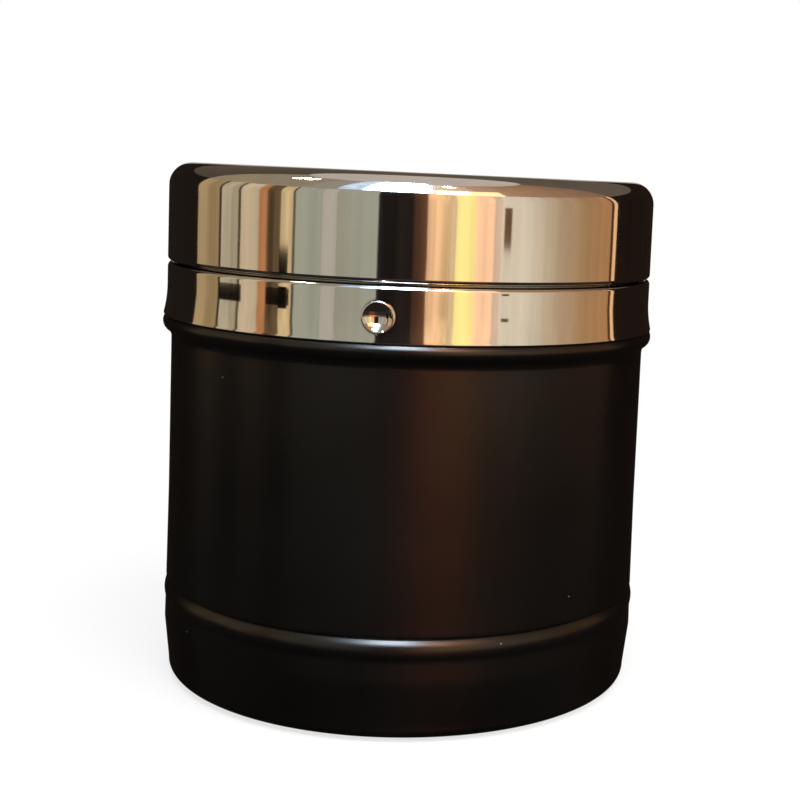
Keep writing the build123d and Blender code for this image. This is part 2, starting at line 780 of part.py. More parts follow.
# Strike: an angle inside the lid's front, whose lip lies under the catch's hook.
liner_bore = liner_radius - liner_wall
strike_y = -(sqrt(liner_bore**2 - (strike_width / 2) ** 2) - fit)
strike_lip_y = catch_y - catch_reach + strike_overlap
strike_top = hook_underside - strike_gap
with BuildPart() as lid_strike:
    with BuildSketch(Plane.YZ.offset(-strike_width / 2)):
        with BuildLine():
            Polyline(
                (strike_lip_y, strike_top),
                (strike_lip_y, strike_top - strike_thickness),
                (strike_y, strike_top - strike_thickness),
                (strike_y, strike_top + strike_height - strike_thickness),
                (strike_y + strike_thickness, strike_top + strike_height - strike_thickness),
                (strike_y + strike_thickness, strike_top),
                close=True,
            )
        make_face()
    extrude(amount=strike_width)
lid_strike.part.label = "lid_strike"
export_step(lid_strike.part, "parts/lid_strike.step")

# ---------------------------------------------------------------- hinge
lid_knuckle_x = spring_space / 2
collar_knuckle_x = lid_knuckle_x + lid_knuckle + knuckle_gap
hinge_half = collar_knuckle_x + collar_knuckle
web_y = hinge_y - knuckle_radius - web_reach

with BuildPart() as lid_hinge_leaf:
    with BuildSketch(Plane.XY.offset(lid_bottom + lid_edge)):
        Circle(leaf_radius + leaf_thickness)
        Circle(leaf_radius, mode=Mode.SUBTRACT)
    extrude(amount=leaf_height)
    with BuildSketch(Plane.XZ):
        with Locations((0, lid_bottom + lid_edge)):
            RectangleRounded(2 * hinge_half, 2 * leaf_height, leaf_corner)
    extrude(amount=-2 * drum_radius, mode=Mode.INTERSECT)
    for knuckle_start in (lid_knuckle_x, -lid_knuckle_x - lid_knuckle):
        with BuildSketch(Plane.YZ.offset(knuckle_start)):
            with Locations((hinge_y, hinge_z)):
                Circle(knuckle_radius)
            with BuildLine():
                Polyline(
                    (hinge_y, hinge_z + knuckle_radius),
                    (web_y, hinge_z + knuckle_radius + web_rise),
                    (web_y, lid_bottom + lid_edge),
                    (hinge_y - hinge_pin_radius, lid_bottom + fit),
                    close=True,
                )
            make_face()
        extrude(amount=lid_knuckle)
    with BuildSketch(Plane.XY.offset(collar_top - 2 * knuckle_radius)):
        Circle(leaf_radius)
    extrude(amount=2 * leaf_height + 2 * knuckle_radius, mode=Mode.SUBTRACT)
    with BuildSketch(Plane.YZ.offset(-hinge_half)):
        with Locations((hinge_y, hinge_z)):
            Circle(hinge_pin_radius + slide_fit)
    extrude(amount=2 * hinge_half, mode=Mode.SUBTRACT)
    with BuildSketch(Plane.YZ.offset(-lid_knuckle_x)):
        with Locations((hinge_y, hinge_z)):
            Circle(spring_room)
    extrude(amount=spring_space, mode=Mode.SUBTRACT)
lid_hinge_leaf.part.label = "lid_hinge_leaf"
export_step(lid_hinge_leaf.part, "parts/lid_hinge_leaf.step")

collar_leaf_top = collar_top - collar_edge
collar_leaf_height = collar_leaf_top - (collar_bottom + collar_flare_height)
with BuildPart() as collar_hinge_leaf:
    with BuildSketch(Plane.XY.offset(collar_leaf_top)):
        Circle(leaf_radius + leaf_thickness)
        Circle(leaf_radius, mode=Mode.SUBTRACT)
    extrude(amount=-collar_leaf_height)
    with BuildSketch(Plane.XZ):
        with Locations((0, collar_leaf_top)):
            RectangleRounded(2 * hinge_half, 2 * collar_leaf_height, leaf_corner)
    extrude(amount=-2 * drum_radius, mode=Mode.INTERSECT)
    for knuckle_start in (collar_knuckle_x, -hinge_half):
        with BuildSketch(Plane.YZ.offset(knuckle_start)):
            with Locations((hinge_y, hinge_z)):
                Circle(knuckle_radius)
            with BuildLine():
                Polyline(
                    (hinge_y, hinge_z - knuckle_radius),
                    (web_y, hinge_z - knuckle_radius - web_rise),
                    (web_y, collar_leaf_top),
                    (hinge_y - hinge_pin_radius, collar_top - fit),
                    close=True,
                )
            make_face()
        extrude(amount=collar_knuckle)
    with BuildSketch(Plane.XY.offset(collar_bottom)):
        Circle(leaf_radius)
    extrude(amount=lid_top - collar_bottom, mode=Mode.SUBTRACT)
    with BuildSketch(Plane.YZ.offset(-hinge_half)):
        with Locations((hinge_y, hinge_z)):
            Circle(hinge_pin_radius + fit)
    extrude(amount=2 * hinge_half, mode=Mode.SUBTRACT)
    with BuildSketch(Plane.YZ.offset(-lid_knuckle_x)):
        with Locations((hinge_y, hinge_z)):
            Circle(spring_room)
    extrude(amount=spring_space, mode=Mode.SUBTRACT)
collar_hinge_leaf.part.label = "collar_hinge_leaf"
export_step(collar_hinge_leaf.part, "parts/collar_hinge_leaf.step")

with BuildPart() as hinge_pin:
    with BuildSketch(Plane.YZ.offset(-hinge_half - pin_overhang)):
        with Locations((hinge_y, hinge_z)):
            Circle(hinge_pin_radius)
    extrude(amount=2 * (hinge_half + pin_overhang))
    fillet(hinge_pin.edges().filter_by(GeomType.CIRCLE), radius=hinge_pin_radius / 2)
hinge_pin.part.label = "hinge_pin"
export_step(hinge_pin.part, "parts/hinge_pin.step")

# Torsion spring round the pin: one leg bears on the lid's leaf, the other on the collar's.
coil_length = spring_space - 4 * lid_spring_wire - 2 * knuckle_gap
with BuildPart() as lid_spring:
    with BuildLine() as spring_coil:
        Helix(
            coil_length / lid_spring_turns,
            coil_length,
            spring_radius,
            center=(-coil_length / 2, hinge_y, hinge_z),
            direction=(1, 0, 0),
            lefthand=True,
        )
    with BuildSketch(Plane(origin=spring_coil.line @ 0, z_dir=spring_coil.line % 0)):
        Circle(lid_spring_wire)
    sweep()
    for coil_end in (0, 1):
        with BuildSketch(Plane(origin=spring_coil.line @ coil_end, z_dir=(0, -1, 0))):
            Circle(lid_spring_wire)
        extrude(amount=hinge_y - leaf_radius - leaf_thickness)
lid_spring.part.label = "lid_spring"
export_step(lid_spring.part, "parts/lid_spring.step")
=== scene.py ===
import json
import math

import bmesh
import bpy
from mathutils import Matrix, Vector


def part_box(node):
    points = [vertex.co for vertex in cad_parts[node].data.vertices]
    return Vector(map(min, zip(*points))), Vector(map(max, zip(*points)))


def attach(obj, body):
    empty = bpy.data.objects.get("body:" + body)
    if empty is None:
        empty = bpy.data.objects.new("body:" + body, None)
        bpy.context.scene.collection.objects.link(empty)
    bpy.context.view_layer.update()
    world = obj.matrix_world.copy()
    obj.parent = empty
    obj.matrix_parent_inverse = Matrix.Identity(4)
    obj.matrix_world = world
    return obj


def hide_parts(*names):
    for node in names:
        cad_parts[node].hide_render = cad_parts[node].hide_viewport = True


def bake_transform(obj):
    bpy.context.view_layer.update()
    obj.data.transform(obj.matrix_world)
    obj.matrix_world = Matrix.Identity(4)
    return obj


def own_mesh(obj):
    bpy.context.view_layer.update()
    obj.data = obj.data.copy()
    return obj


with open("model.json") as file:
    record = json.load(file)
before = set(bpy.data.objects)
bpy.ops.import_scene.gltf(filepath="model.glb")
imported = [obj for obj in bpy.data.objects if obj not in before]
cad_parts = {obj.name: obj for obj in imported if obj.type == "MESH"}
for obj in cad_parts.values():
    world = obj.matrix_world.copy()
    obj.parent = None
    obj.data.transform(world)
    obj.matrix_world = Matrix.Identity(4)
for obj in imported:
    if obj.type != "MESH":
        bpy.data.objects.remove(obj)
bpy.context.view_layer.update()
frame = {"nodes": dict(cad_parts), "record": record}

# Drum-shaped table lighter. Metres, +Z up, on the drum's axis; the button faces -Y and the hinge +Y.
MM = 0.001
nodes = frame["nodes"]
record = frame["record"]
body_of_node = {n: b for b, members in record["behaviour"]["bodies"].items() for n in members}

# ---------- sizes taken from the frame
lid_low, lid_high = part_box("lid_shell")
collar_low, collar_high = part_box("collar_ring")
tube_low, tube_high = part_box("body_tube")
cup_low, cup_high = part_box("base_cup")
button_low, button_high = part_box("push_button")
wheel_low, wheel_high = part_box("flint_wheel")
wick_low, wick_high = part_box("wick")
coil_low, coil_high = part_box("lid_spring")
pin_low, pin_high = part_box("hinge_pin")
flint_coil_low, flint_coil_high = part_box("flint_spring")
lid_radius = lid_high.x
flare_radius = collar_high.x
bead_radius = tube_high.x
lip_radius = cup_high.x
button_height = (button_low.z + button_high.z) / 2

# ---------- fine sizes of the shells
LID_WALL = 0.9 * MM
LID_CORNER = 3.4 * MM
LID_EDGE = 0.6 * MM
LID_TOP_START = 0.2 * MM     # from the corner's arc to the first point on the flat top
LID_CEILING_CORE = 2.0 * MM  # inner radius of the first ring under the top
COLLAR_EDGE = 0.7 * MM
COLLAR_FOOT_EDGE = 0.15 * MM
COLLAR_FLARE = 0.5 * MM
COLLAR_FLARE_HEIGHT = 4.4 * MM
TUBE_RADIUS = 36.5 * MM
TUBE_WALL = 0.8 * MM
TUBE_SPREAD = 0.15 * MM
TUBE_SPREAD_HEIGHT = 14.0 * MM
TUBE_EDGE = 0.4 * MM
TUBE_FOOT_EASE = 0.01 * MM   # the wall draws in by this just above its eased lower edge
BEAD_HEIGHT = 2.4 * MM
BEAD_CROWN = 1.25 * MM
BEAD_RETURN = 0.45 * MM
NECK_HEIGHT = 1.2 * MM
NECK_REACH = 0.4 * MM
NECK_CURVE = 2.2             # power of the neck's outward sweep
SPIGOT_RADIUS = 35.23 * MM
LIP_HEIGHT = 2.9 * MM
LIP_CROWN = 1.9 * MM
LIP_ROUNDING = 0.75 * MM
THROAT_RADIUS = 36.69 * MM
WAIST_HEIGHT = 8.5 * MM
WAIST_RADIUS = 36.75 * MM
FOOT_RADIUS = 36.05 * MM
FOOT_CORNER = 1.3 * MM
PAD_RECESS = 32.3 * MM
CUP_SOCKET = 35.28 * MM
CUP_SHOULDER = 7.8 * MM
CUP_BORE = 34.28 * MM
CUP_FLOOR_LOW = 1.0 * MM
CUP_FLOOR_HIGH = 2.2 * MM
BUTTON_RADIUS = 2.2 * MM
BUTTON_RIM = 0.2 * MM        # flat edge round the dished face
BUTTON_DISH = 0.8 * MM
BUTTON_GAP = 0.08 * MM       # clearance round the stem in the collar
WALL_START = 0.3 * MM        # plain wall between an arc or a flare and the next ring
HAIR_EDGE = 0.12 * MM        # a pressed or cut edge, just broken
ROUND_STEPS = 288            # sides of a large turned shell
BUTTON_STEPS = 64
FLARE_STEPS = 16
NECK_STEPS = 10
DISH_STEPS = 20
BLADE_STEPS = 24             # pieces that the catch's blade is cut into
EDGE_ANGLE = math.radians(40)    # edges sharper than this are broken
FLAT_ANGLE = math.radians(0.5)   # triangles that differ by less lie in one face
MERGE_DISTANCE = 0.001 * MM
DRILL_LENGTH = 12.0 * MM
LID_SPRING_WIRE = 0.25 * MM
LID_SPRING_TURNS = 6.5
LID_SPRING_LEG = 1.35 * MM
FLINT_SPRING_WIRE = 0.15 * MM
FLINT_SPRING_TURNS = 16.0
STRAND_RADIUS = 0.3 * MM
STRANDS = 8.0
STRAND_TURNS = 5.0
STRAND_INSET = 0.35          # strand radii by which the second layer lies deeper
WICK_CORE_SHARE = 0.72
CHAR_DEPTH = 4.2 * MM        # where the wick starts to brown, below its tip
CHAR_BLACK_DEPTH = 1.2 * MM
WHEEL_THICKNESS = 5.4 * MM
TOOTH_HEIGHT = 0.42 * MM
TOOTH_TIP = 0.05 * MM
TOOTH_BASE_SHARE = 0.68      # of the pitch between rows
TEETH = 40.0
TOOTH_ROWS = 8.0
HUB_RADIUS = 2.0 * MM
EDGE_LIKENESS = (0.86, 0.985)    # eased and true normals' dot product, on an edge and off it
RAGGED_LEVELS = (0.42, 0.62)     # noise levels where an edge's wear starts and is full
SEAM_OPENNESS = (0.3, 0.8)       # how open a point is, deep in a seam and clear of it


# ---------- small helpers
def linear(hex_colour):
    """An sRGB hex colour as linear RGBA."""
    channels = [int(hex_colour[i:i + 2], 16) / 255 for i in (1, 3, 5)]
    return [c / 12.92 if c <= 0.04045 else ((c + 0.055) / 1.055) ** 2.4 for c in channels] + [1.0]


def add(tree, kind, inputs=None, stops=(), **settings):
    """Adds a node. settings are its properties; stops are a colour ramp's (place, hex colour).

    inputs maps sockets to values, to other sockets, or to nodes, whose first output is linked.
    """
    made = tree.nodes.new(kind)
    for name, value in settings.items():
        setattr(made, name, value)
    band = made.color_ramp.elements if stops else ()
    while len(band) < len(stops):
        band.new(0.5)
    for element, (place, colour) in zip(band, stops):
        element.position = place
        element.color = linear(colour)
    for key, value in (inputs or {}).items():
        if isinstance(value, bpy.types.Node):
            value = value.outputs[0]
        if isinstance(value, bpy.types.NodeSocket):
            tree.links.new(value, made.inputs[key])
        else:
            made.inputs[key].default_value = value
    return made


def new_material(name):
    """An empty material, its tree, and the piece's own coordinates in it."""
    made = bpy.data.materials.new(name)
    made.use_nodes = True
    tree = made.node_tree
    tree.nodes.clear()
    return made, tree, add(tree, "ShaderNodeTexCoord").outputs["Object"]


def close_material(tree, inputs):
    """Ends the tree in a Principled shader with these inputs."""
    shader = add(tree, "ShaderNodeBsdfPrincipled", inputs)
    add(tree, "ShaderNodeOutputMaterial", {"Surface": shader})


def per_mm(size_mm):
    """Noise scale, in pattern cells per metre, for features about size_mm across."""
    return 1.0 / (size_mm * MM)


def mottle(tree, place, size_mm, detail=3.0, stretch=(1, 1, 1)):
    """Uneven patches about size_mm across, longer along an axis whose stretch is under 1."""
    stretched = add(tree, "ShaderNodeMapping", {"Vector": place, "Scale": stretch})
    inputs = {"Vector": stretched, "Scale": per_mm(size_mm), "Detail": detail}
    return add(tree, "ShaderNodeTexNoise", inputs)


def edge_wear(tree, place, reach_mm, patch_mm):
    """How rubbed a point is: 1 along outside edges, within about reach_mm of them, in ragged patches."""
    eased = add(tree, "ShaderNodeBevel", {"Radius": reach_mm * MM}, samples=4)
    flat = add(tree, "ShaderNodeNewGeometry").outputs["Normal"]
    likeness = add(tree, "ShaderNodeVectorMath", {0: eased, 1: flat}, operation="DOT_PRODUCT")
    on_edge, off_edge = EDGE_LIKENESS
    turned_by = {"Value": likeness.outputs["Value"], "From Min": on_edge, "From Max": off_edge}
    near = add(tree, "ShaderNodeMapRange", turned_by | {"To Min": 1.0, "To Max": 0.0})
    low, high = RAGGED_LEVELS
    patches = {"Value": mottle(tree, place, patch_mm, 4.0), "From Min": low, "From Max": high}
    ragged = add(tree, "ShaderNodeMapRange", patches)
    return add(tree, "ShaderNodeMath", {0: near, 1: ragged}, operation="MULTIPLY")


def painted_seam_shade(tree, reach_mm):
    """How deep in painted shade a point is: 1 in seams, where another face lies within about reach_mm, 0
    outside.
    """
    clear = add(tree, "ShaderNodeAmbientOcclusion", {"Distance": reach_mm * MM}, samples=4)
    seam, clear_of_it = SEAM_OPENNESS
    openness = {"Value": clear.outputs["AO"], "From Min": seam, "From Max": clear_of_it}
    return add(tree, "ShaderNodeMapRange", openness | {"To Min": 1.0, "To Max": 0.0})


def worn_and_shaded(tree, base, mask, colour, share):
    """base turned towards a hex colour by a mask: rubbed edges, dust nibs, and painted shade in seams."""
    amount = add(tree, "ShaderNodeMath", {0: mask, 1: share}, operation="MULTIPLY")
    inputs = {"Factor": amount, "A": base, "B": linear(colour)}
    return add(tree, "ShaderNodeMix", inputs, data_type="RGBA").outputs["Result"]


def round_axis(tree, place):
    """Coordinates in which a pattern runs in rings round the drum's axis."""
    split = add(tree, "ShaderNodeSeparateXYZ", {"Vector": place}).outputs
    flat = add(tree, "ShaderNodeCombineXYZ", {"X": split["X"], "Y": split["Y"]})
    radius = add(tree, "ShaderNodeVectorMath", {0: flat}, operation="LENGTH").outputs["Value"]
    return add(tree, "ShaderNodeCombineXYZ", {"X": radius, "Y": split["Z"]}).outputs["Vector"]


# ---------- materials
def weathered(
    name, metallic, stain, stops, edge, rubbed, rough, depth_mm,
    grain=None, relief=None, shade_in_seams=None, ringed=False, sheen=0.0,
):
    """A material stained between two colours, rubbed along its edges and darkened in its seams by painted
    shade.

    stain, grain and relief are patterns: the arguments of mottle from size_mm on. The grain sets
    the roughness and the relief the bump; where one isn't given, the one before it is used. edge
    is the reach and patch of edge_wear, and rubbed its colour and share. shade_in_seams is the reach,
    colour and share of the painted shade that darkens the seams.
    """
    made, tree, place = new_material(name)
    stained = mottle(tree, place, *stain)
    base = add(tree, "ShaderNodeValToRGB", {"Fac": stained}, stops)
    base = worn_and_shaded(tree, base, edge_wear(tree, place, *edge), *rubbed)
    # Painted shade: the colour turns darker in seams, where another face lies close.
    if shade_in_seams:
        reach_mm, colour, share = shade_in_seams
        base = worn_and_shaded(tree, base, painted_seam_shade(tree, reach_mm), colour, share)
    grained = mottle(tree, round_axis(tree, place) if ringed else place, *grain) if grain else stained
    raised = mottle(tree, place, *relief) if relief else grained
    close_material(tree, {
        "Base Color": base,
        "Metallic": metallic,
        "Roughness": add(
            tree, "ShaderNodeMapRange", {"Value": grained, "To Min": rough[0], "To Max": rough[1]}
        ),
        "Normal": add(tree, "ShaderNodeBump", {"Height": raised, "Distance": depth_mm * MM}),
        "Sheen Weight": sheen,
    })
    return made


def chromium_plate():
    """Bright chromium plate on buffed steel: a clear mirror, faintly wavy, with wiped-on haze."""
    made, tree, place = new_material("chromium_plate")
    haze = mottle(tree, place, 14.0, 4.0, (1, 1, 0.5))
    plate = add(tree, "ShaderNodeValToRGB", {"Fac": haze}, [(0.3, "#CFCDCA"), (0.7, "#DEDCD9")])
    mask = edge_wear(tree, place, 0.25, 3.0)
    rubbed = worn_and_shaded(tree, plate, mask, "#B7AFA4", 0.5)
    hairlines = mottle(tree, place, 0.35, 2.0, (1, 1, 0.03))
    hazed = add(tree, "ShaderNodeMapRange", {"Value": haze, "To Min": 0.03, "To Max": 0.06})
    lined = add(tree, "ShaderNodeMapRange", {"Value": hairlines, "To Min": 0.0, "To Max": 0.02})
    dulled = add(tree, "ShaderNodeMath", {0: mask, 1: 0.1}, operation="MULTIPLY")
    rough = add(tree, "ShaderNodeMath", {0: hazed, 1: lined}, operation="ADD")
    waves = mottle(tree, place, 9.0, 1.0)
    wavy = add(tree, "ShaderNodeBump", {"Height": waves, "Distance": 0.012 * MM})
    scored = {"Height": hairlines, "Distance": 0.0004 * MM, "Normal": wavy}
    close_material(tree, {
        # Painted shade: the plate turns near black in its seams, where another face lies within 0.7 mm.
        "Base Color": worn_and_shaded(tree, rubbed, painted_seam_shade(tree, 0.7), "#1D1814", 0.95),
        "Metallic": 1.0,
        "Roughness": add(tree, "ShaderNodeMath", {0: rough, 1: dulled}, operation="ADD"),
        "Normal": add(tree, "ShaderNodeBump", scored),
    })
    return made


def satin_black_enamel():
    """Stoved satin black enamel: near black, soft warm sheen, fine orange peel, a few dust nibs."""
    made, tree, place = new_material("satin_black_enamel")
    cloud = mottle(tree, place, 18.0, 4.0)
    base = add(tree, "ShaderNodeValToRGB", {"Fac": cloud}, [(0.3, "#040404"), (0.7, "#070707")])
    cells = {"Vector": place, "Scale": per_mm(6.0), "Randomness": 1.0}
    nibs = add(tree, "ShaderNodeTexVoronoi", cells, feature="F1")
    near_nib = {"Value": nibs, "From Min": 0.012, "From Max": 0.022, "To Min": 1.0, "To Max": 0.0}
    dusty = worn_and_shaded(tree, base, add(tree, "ShaderNodeMapRange", near_nib), "#6E6C68", 1.0)
    mask = edge_wear(tree, place, 0.3, 2.2)
    satin = add(tree, "ShaderNodeMapRange", {"Value": cloud, "To Min": 0.22, "To Max": 0.29})
    dulled = add(tree, "ShaderNodeMath", {0: mask, 1: 0.15}, operation="MULTIPLY")
    peel = mottle(tree, place, 0.7, 2.0)
    close_material(tree, {
        "Base Color": worn_and_shaded(tree, dusty, mask, "#2B2826", 0.5),
        "IOR": 1.5,
        "Specular IOR Level": 0.5,
        "Specular Tint": linear("#FFF4EA"),
        "Roughness": add(tree, "ShaderNodeMath", {0: satin, 1: dulled}, operation="ADD"),
        "Normal": add(tree, "ShaderNodeBump", {"Height": peel, "Distance": 0.004 * MM}),
    })
    return made


def plaited_cotton():
    """Plaited cotton cord, cream below and charred at the burning end."""
    made, tree, place = new_material("plaited_cotton")
    height = add(tree, "ShaderNodeSeparateXYZ", {"Vector": place}).outputs["Z"]
    fibre = mottle(tree, place, 0.12, 4.0, (1, 1, 0.25))
    char_from = wick_high.z - CHAR_DEPTH
    char_to = wick_high.z - CHAR_BLACK_DEPTH
    charred = {"Value": height, "From Min": char_from, "From Max": char_to}
    char = add(tree, "ShaderNodeMapRange", charred)
    uneven = add(tree, "ShaderNodeMapRange", {"Value": fibre, "To Min": -0.25, "To Max": 0.25})
    ragged = add(tree, "ShaderNodeMath", {0: char, 1: uneven}, operation="ADD")
    stops = [(0.1, "#D9D0BA"), (0.45, "#8A7350"), (0.75, "#2A231C"), (1.0, "#141210")]
    close_material(tree, {
        "Base Color": add(tree, "ShaderNodeValToRGB", {"Fac": ragged}, stops),
        "Roughness": add(
            tree, "ShaderNodeMapRange", {"Value": fibre, "To Min": 0.85, "To Max": 1.0}
        ),
        "Normal": add(tree, "ShaderNodeBump", {"Height": fibre, "Distance": 0.05 * MM}),
        "Sheen Weight": 0.3,
    })
    return made


def pressed_felt(name, dark, light, rubbed):
    """Felt or wadding: matted fibres a few tenths of a millimetre apart, soft sheen."""
    return weathered(
        name, 0.0, stain=(0.5, 5.0), stops=[(0.3, dark), (0.7, light)],
        edge=(0.5, 2.0), rubbed=(rubbed, 0.6), rough=(0.88, 1.0), depth_mm=0.12, sheen=0.4,
    )


CHROME = chromium_plate()
ENAMEL = satin_black_enamel()
# Stainless strip with a fine brushed grain running along X, with painted shade darkening its seams.
BRUSHED = weathered(
    "brushed_steel", 1.0, stain=(9.0, 4.0), stops=[(0.3, "#A6A5A2"), (0.7, "#BAB9B6")],
    edge=(0.15, 1.5), rubbed=("#D9D8D4", 0.7), shade_in_seams=(0.8, "#2A2420", 0.7),
    grain=(0.25, 3.0, (0.02, 1, 1)), rough=(0.22, 0.38), depth_mm=0.003,
)
# Nickelled steel spun on a lathe: fine rings round the drum's axis, with painted shade darkening its
# seams.
SPUN = weathered(
    "spun_steel", 1.0, stain=(11.0, 4.0), stops=[(0.3, "#B3B2AE"), (0.7, "#C6C5C1")],
    edge=(0.2, 2.0), rubbed=("#8F8375", 0.6), shade_in_seams=(1.2, "#2E2721", 0.6),
    grain=(0.22, 2.0), ringed=True, rough=(0.16, 0.32), depth_mm=0.002,
)
# Blued spring steel, drawn and polished: a cool blue-grey, bright where it rubs.
SPRING = weathered(
    "spring_steel", 1.0, stain=(2.5, 3.0), stops=[(0.3, "#6F747C"), (0.7, "#95989D")],
    edge=(0.1, 0.8), rubbed=("#C6C5C2", 0.7),
    grain=(0.12, 2.0), rough=(0.2, 0.34), depth_mm=0.002,
)
# Case-hardened wheel steel: dark and dull.
HARDENED = weathered(
    "hardened_steel", 0.9, stain=(0.8, 4.0), stops=[(0.35, "#3C3B3A"), (0.7, "#6A6764")],
    edge=(0.12, 0.8), rubbed=("#B3B0AC", 0.8), rough=(0.35, 0.6),
    relief=(0.15, 2.0), depth_mm=0.004,
)
# Bright zinc plate on small steel screws and rivets: a fine grey spangle.
ZINC = weathered(
    "zinc_plate", 1.0, stain=(0.9, 3.0), stops=[(0.3, "#A9ABAE"), (0.7, "#C2C3C2")],
    edge=(0.1, 0.9), rubbed=("#77736C", 0.7), rough=(0.22, 0.36),
    relief=(0.25, 2.0), depth_mm=0.003,
)
# Free-cutting brass off an automatic lathe, a little tarnished.
BRASS = weathered(
    "turned_brass", 1.0, stain=(2.0, 4.0), stops=[(0.3, "#A9843F"), (0.7, "#C9A45A")],
    edge=(0.15, 1.0), rubbed=("#E6CB86", 0.7),
    grain=(0.12, 2.0, (0.2, 0.2, 1)), rough=(0.2, 0.34), depth_mm=0.002,
)
# Sand-cast grey iron: rough, dark and unpainted.
IRON = weathered(
    "grey_iron", 0.7, stain=(0.7, 4.0), stops=[(0.3, "#2E2D2C"), (0.7, "#454341")],
    edge=(0.4, 2.5), rubbed=("#7C7974", 0.8), rough=(0.55, 0.75), depth_mm=0.06,
)
# Pressed ferrocerium rod, dull grey and slightly crumbly.
FERRO = weathered(
    "pressed_ferrocerium", 0.6, stain=(0.2, 3.0), stops=[(0.3, "#4A4846"), (0.7, "#625F5C")],
    edge=(0.1, 0.5), rubbed=("#8C8884", 0.8), rough=(0.5, 0.7), depth_mm=0.02,
)
COTTON = plaited_cotton()
WADDING = pressed_felt("rayon_wadding", "#D8D4CA", "#EFECE4", "#C9C2B2")
GREY_FELT = pressed_felt("grey_felt", "#8F8B84", "#ABA79F", "#C4C0B8")
BLACK_FELT = pressed_felt("black_felt", "#0E0E0F", "#1D1D1E", "#343334")


# ---------- mesh tools
def arc(centre, radius, start, end, steps=8):
    """Points on an arc in the section plane, angles in degrees from the outward direction."""
    points = []
    for i in range(steps + 1):
        angle = math.radians(start + (end - start) * i / steps)
        points.append((centre[0] + radius * math.cos(angle), centre[1] + radius * math.sin(angle)))
    return points


def through(start, middle, end, steps=12):
    """Points on the circle through three points, from start to end."""
    (ax, ay), (bx, by), (cx, cy) = start, middle, end
    d = 2 * (ax * (by - cy) + bx * (cy - ay) + cx * (ay - by))
    a2, b2, c2 = ax * ax + ay * ay, bx * bx + by * by, cx * cx + cy * cy
    centre = (
        (a2 * (by - cy) + b2 * (cy - ay) + c2 * (ay - by)) / d,
        (a2 * (cx - bx) + b2 * (ax - cx) + c2 * (bx - ax)) / d,
    )
    angles = [math.degrees(math.atan2(y - centre[1], x - centre[0])) for x, y in (start, middle, end)]
    radius = math.dist(centre, start)
    first = arc(centre, radius, angles[0], angles[1], steps)
    return first + arc(centre, radius, angles[1], angles[2], steps)[1:]


def run(start, end, steps):
    """Evenly spaced points from start to end, without the last."""
    return [
        (start[0] + (end[0] - start[0]) * i / steps, start[1] + (end[1] - start[1]) * i / steps)
        for i in range(steps)
    ]


def shown(name, data):
    """A new object in the scene that holds this mesh, lamp or camera."""
    made = bpy.data.objects.new(name, data)
    bpy.context.scene.collection.objects.link(made)
    return made


def put(name, mesh, material, body, *replaced):
    """Shows a mesh as a piece that stands for CAD nodes and rides on a body, where one is given."""
    piece = shown(name, mesh)
    mesh.materials.clear()
    mesh.materials.append(material)
    if body:
        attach(piece, body)
    if replaced:
        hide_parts(*replaced)
    return piece


def smooth(mesh, angle=30.0):
    """Smooth shading, with edges sharper than angle kept crisp."""
    mesh.polygons.foreach_set("use_smooth", [True] * len(mesh.polygons))
    mesh.set_sharp_from_angle(angle=math.radians(angle))


def turned(name, section, steps=ROUND_STEPS):
    """A mesh turned about Z from a closed section of (radius, height) points."""
    mesh = bpy.data.meshes.new(name)
    form = bmesh.new()
    rows = []
    for radius, height in section:
        if radius < 1e-7:
            rows.append([form.verts.new((0, 0, height))])
            continue
        rows.append([
            form.verts.new((
                radius * math.cos(2 * math.pi * i / steps),
                radius * math.sin(2 * math.pi * i / steps),
                height,
            ))
            for i in range(steps)
        ])
    for low, high in zip(rows, rows[1:] + rows[:1]):
        if len(low) == 1 and len(high) == 1:
            continue
        for i in range(steps):
            j = (i + 1) % steps
            corners = [low[i % len(low)], low[j % len(low)], high[j % len(high)], high[i % len(high)]]
            form.faces.new(list(dict.fromkeys(corners)))
    bmesh.ops.recalc_face_normals(form, faces=form.faces)
    form.to_mesh(mesh)
    form.free()
    smooth(mesh)
    return mesh


def dressed(node, material, edge=0.0, rides=True):
    """The CAD node's own shape with its points merged, its edges broken and smooth shading."""
    mesh = nodes[node].data.copy()
    form = bmesh.new()
    form.from_mesh(mesh)
    bmesh.ops.remove_doubles(form, verts=form.verts, dist=MERGE_DISTANCE)
    bmesh.ops.dissolve_limit(form, angle_limit=FLAT_ANGLE, verts=form.verts, edges=form.edges)
    form.to_mesh(mesh)
    form.free()
    smooth(mesh)
    piece = put(node + "_dressed", mesh, material, body_of_node[node] if rides else None, node)
    if edge:
        bevel = piece.modifiers.new("broken_edges", "BEVEL")
        bevel.width = edge
        bevel.segments = 2
        bevel.limit_method = "ANGLE"
        bevel.angle_limit = EDGE_ANGLE
    return piece


# ---------- shells seen from outside
def lid_cap():
    """The lid: a drawn cup with a rounded top edge and a rolled-in lower edge."""
    r, low, top = lid_radius, lid_low.z, lid_high.z
    inner = r - LID_WALL
    section = arc((r - LID_EDGE, low + LID_EDGE), LID_EDGE, -90, 0, 8)
    section += run((r, low + LID_EDGE), (r, top - LID_CORNER), 12)
    section += arc((r - LID_CORNER, top - LID_CORNER), LID_CORNER, 0, 90, 14)
    section += run((r - LID_CORNER - LID_TOP_START, top), (0, top), 24)
    section += [(0, top), (0, top - LID_WALL)]
    ceiling = top - LID_WALL
    section += run((LID_CEILING_CORE, ceiling), (r - LID_CORNER, ceiling), 6)
    section += arc((r - LID_CORNER, top - LID_CORNER), LID_CORNER - LID_WALL, 90, 0, 8)
    section += [(inner, low)]
    put("lid_cap", turned("lid_cap", section), CHROME, "lid", "lid_shell")


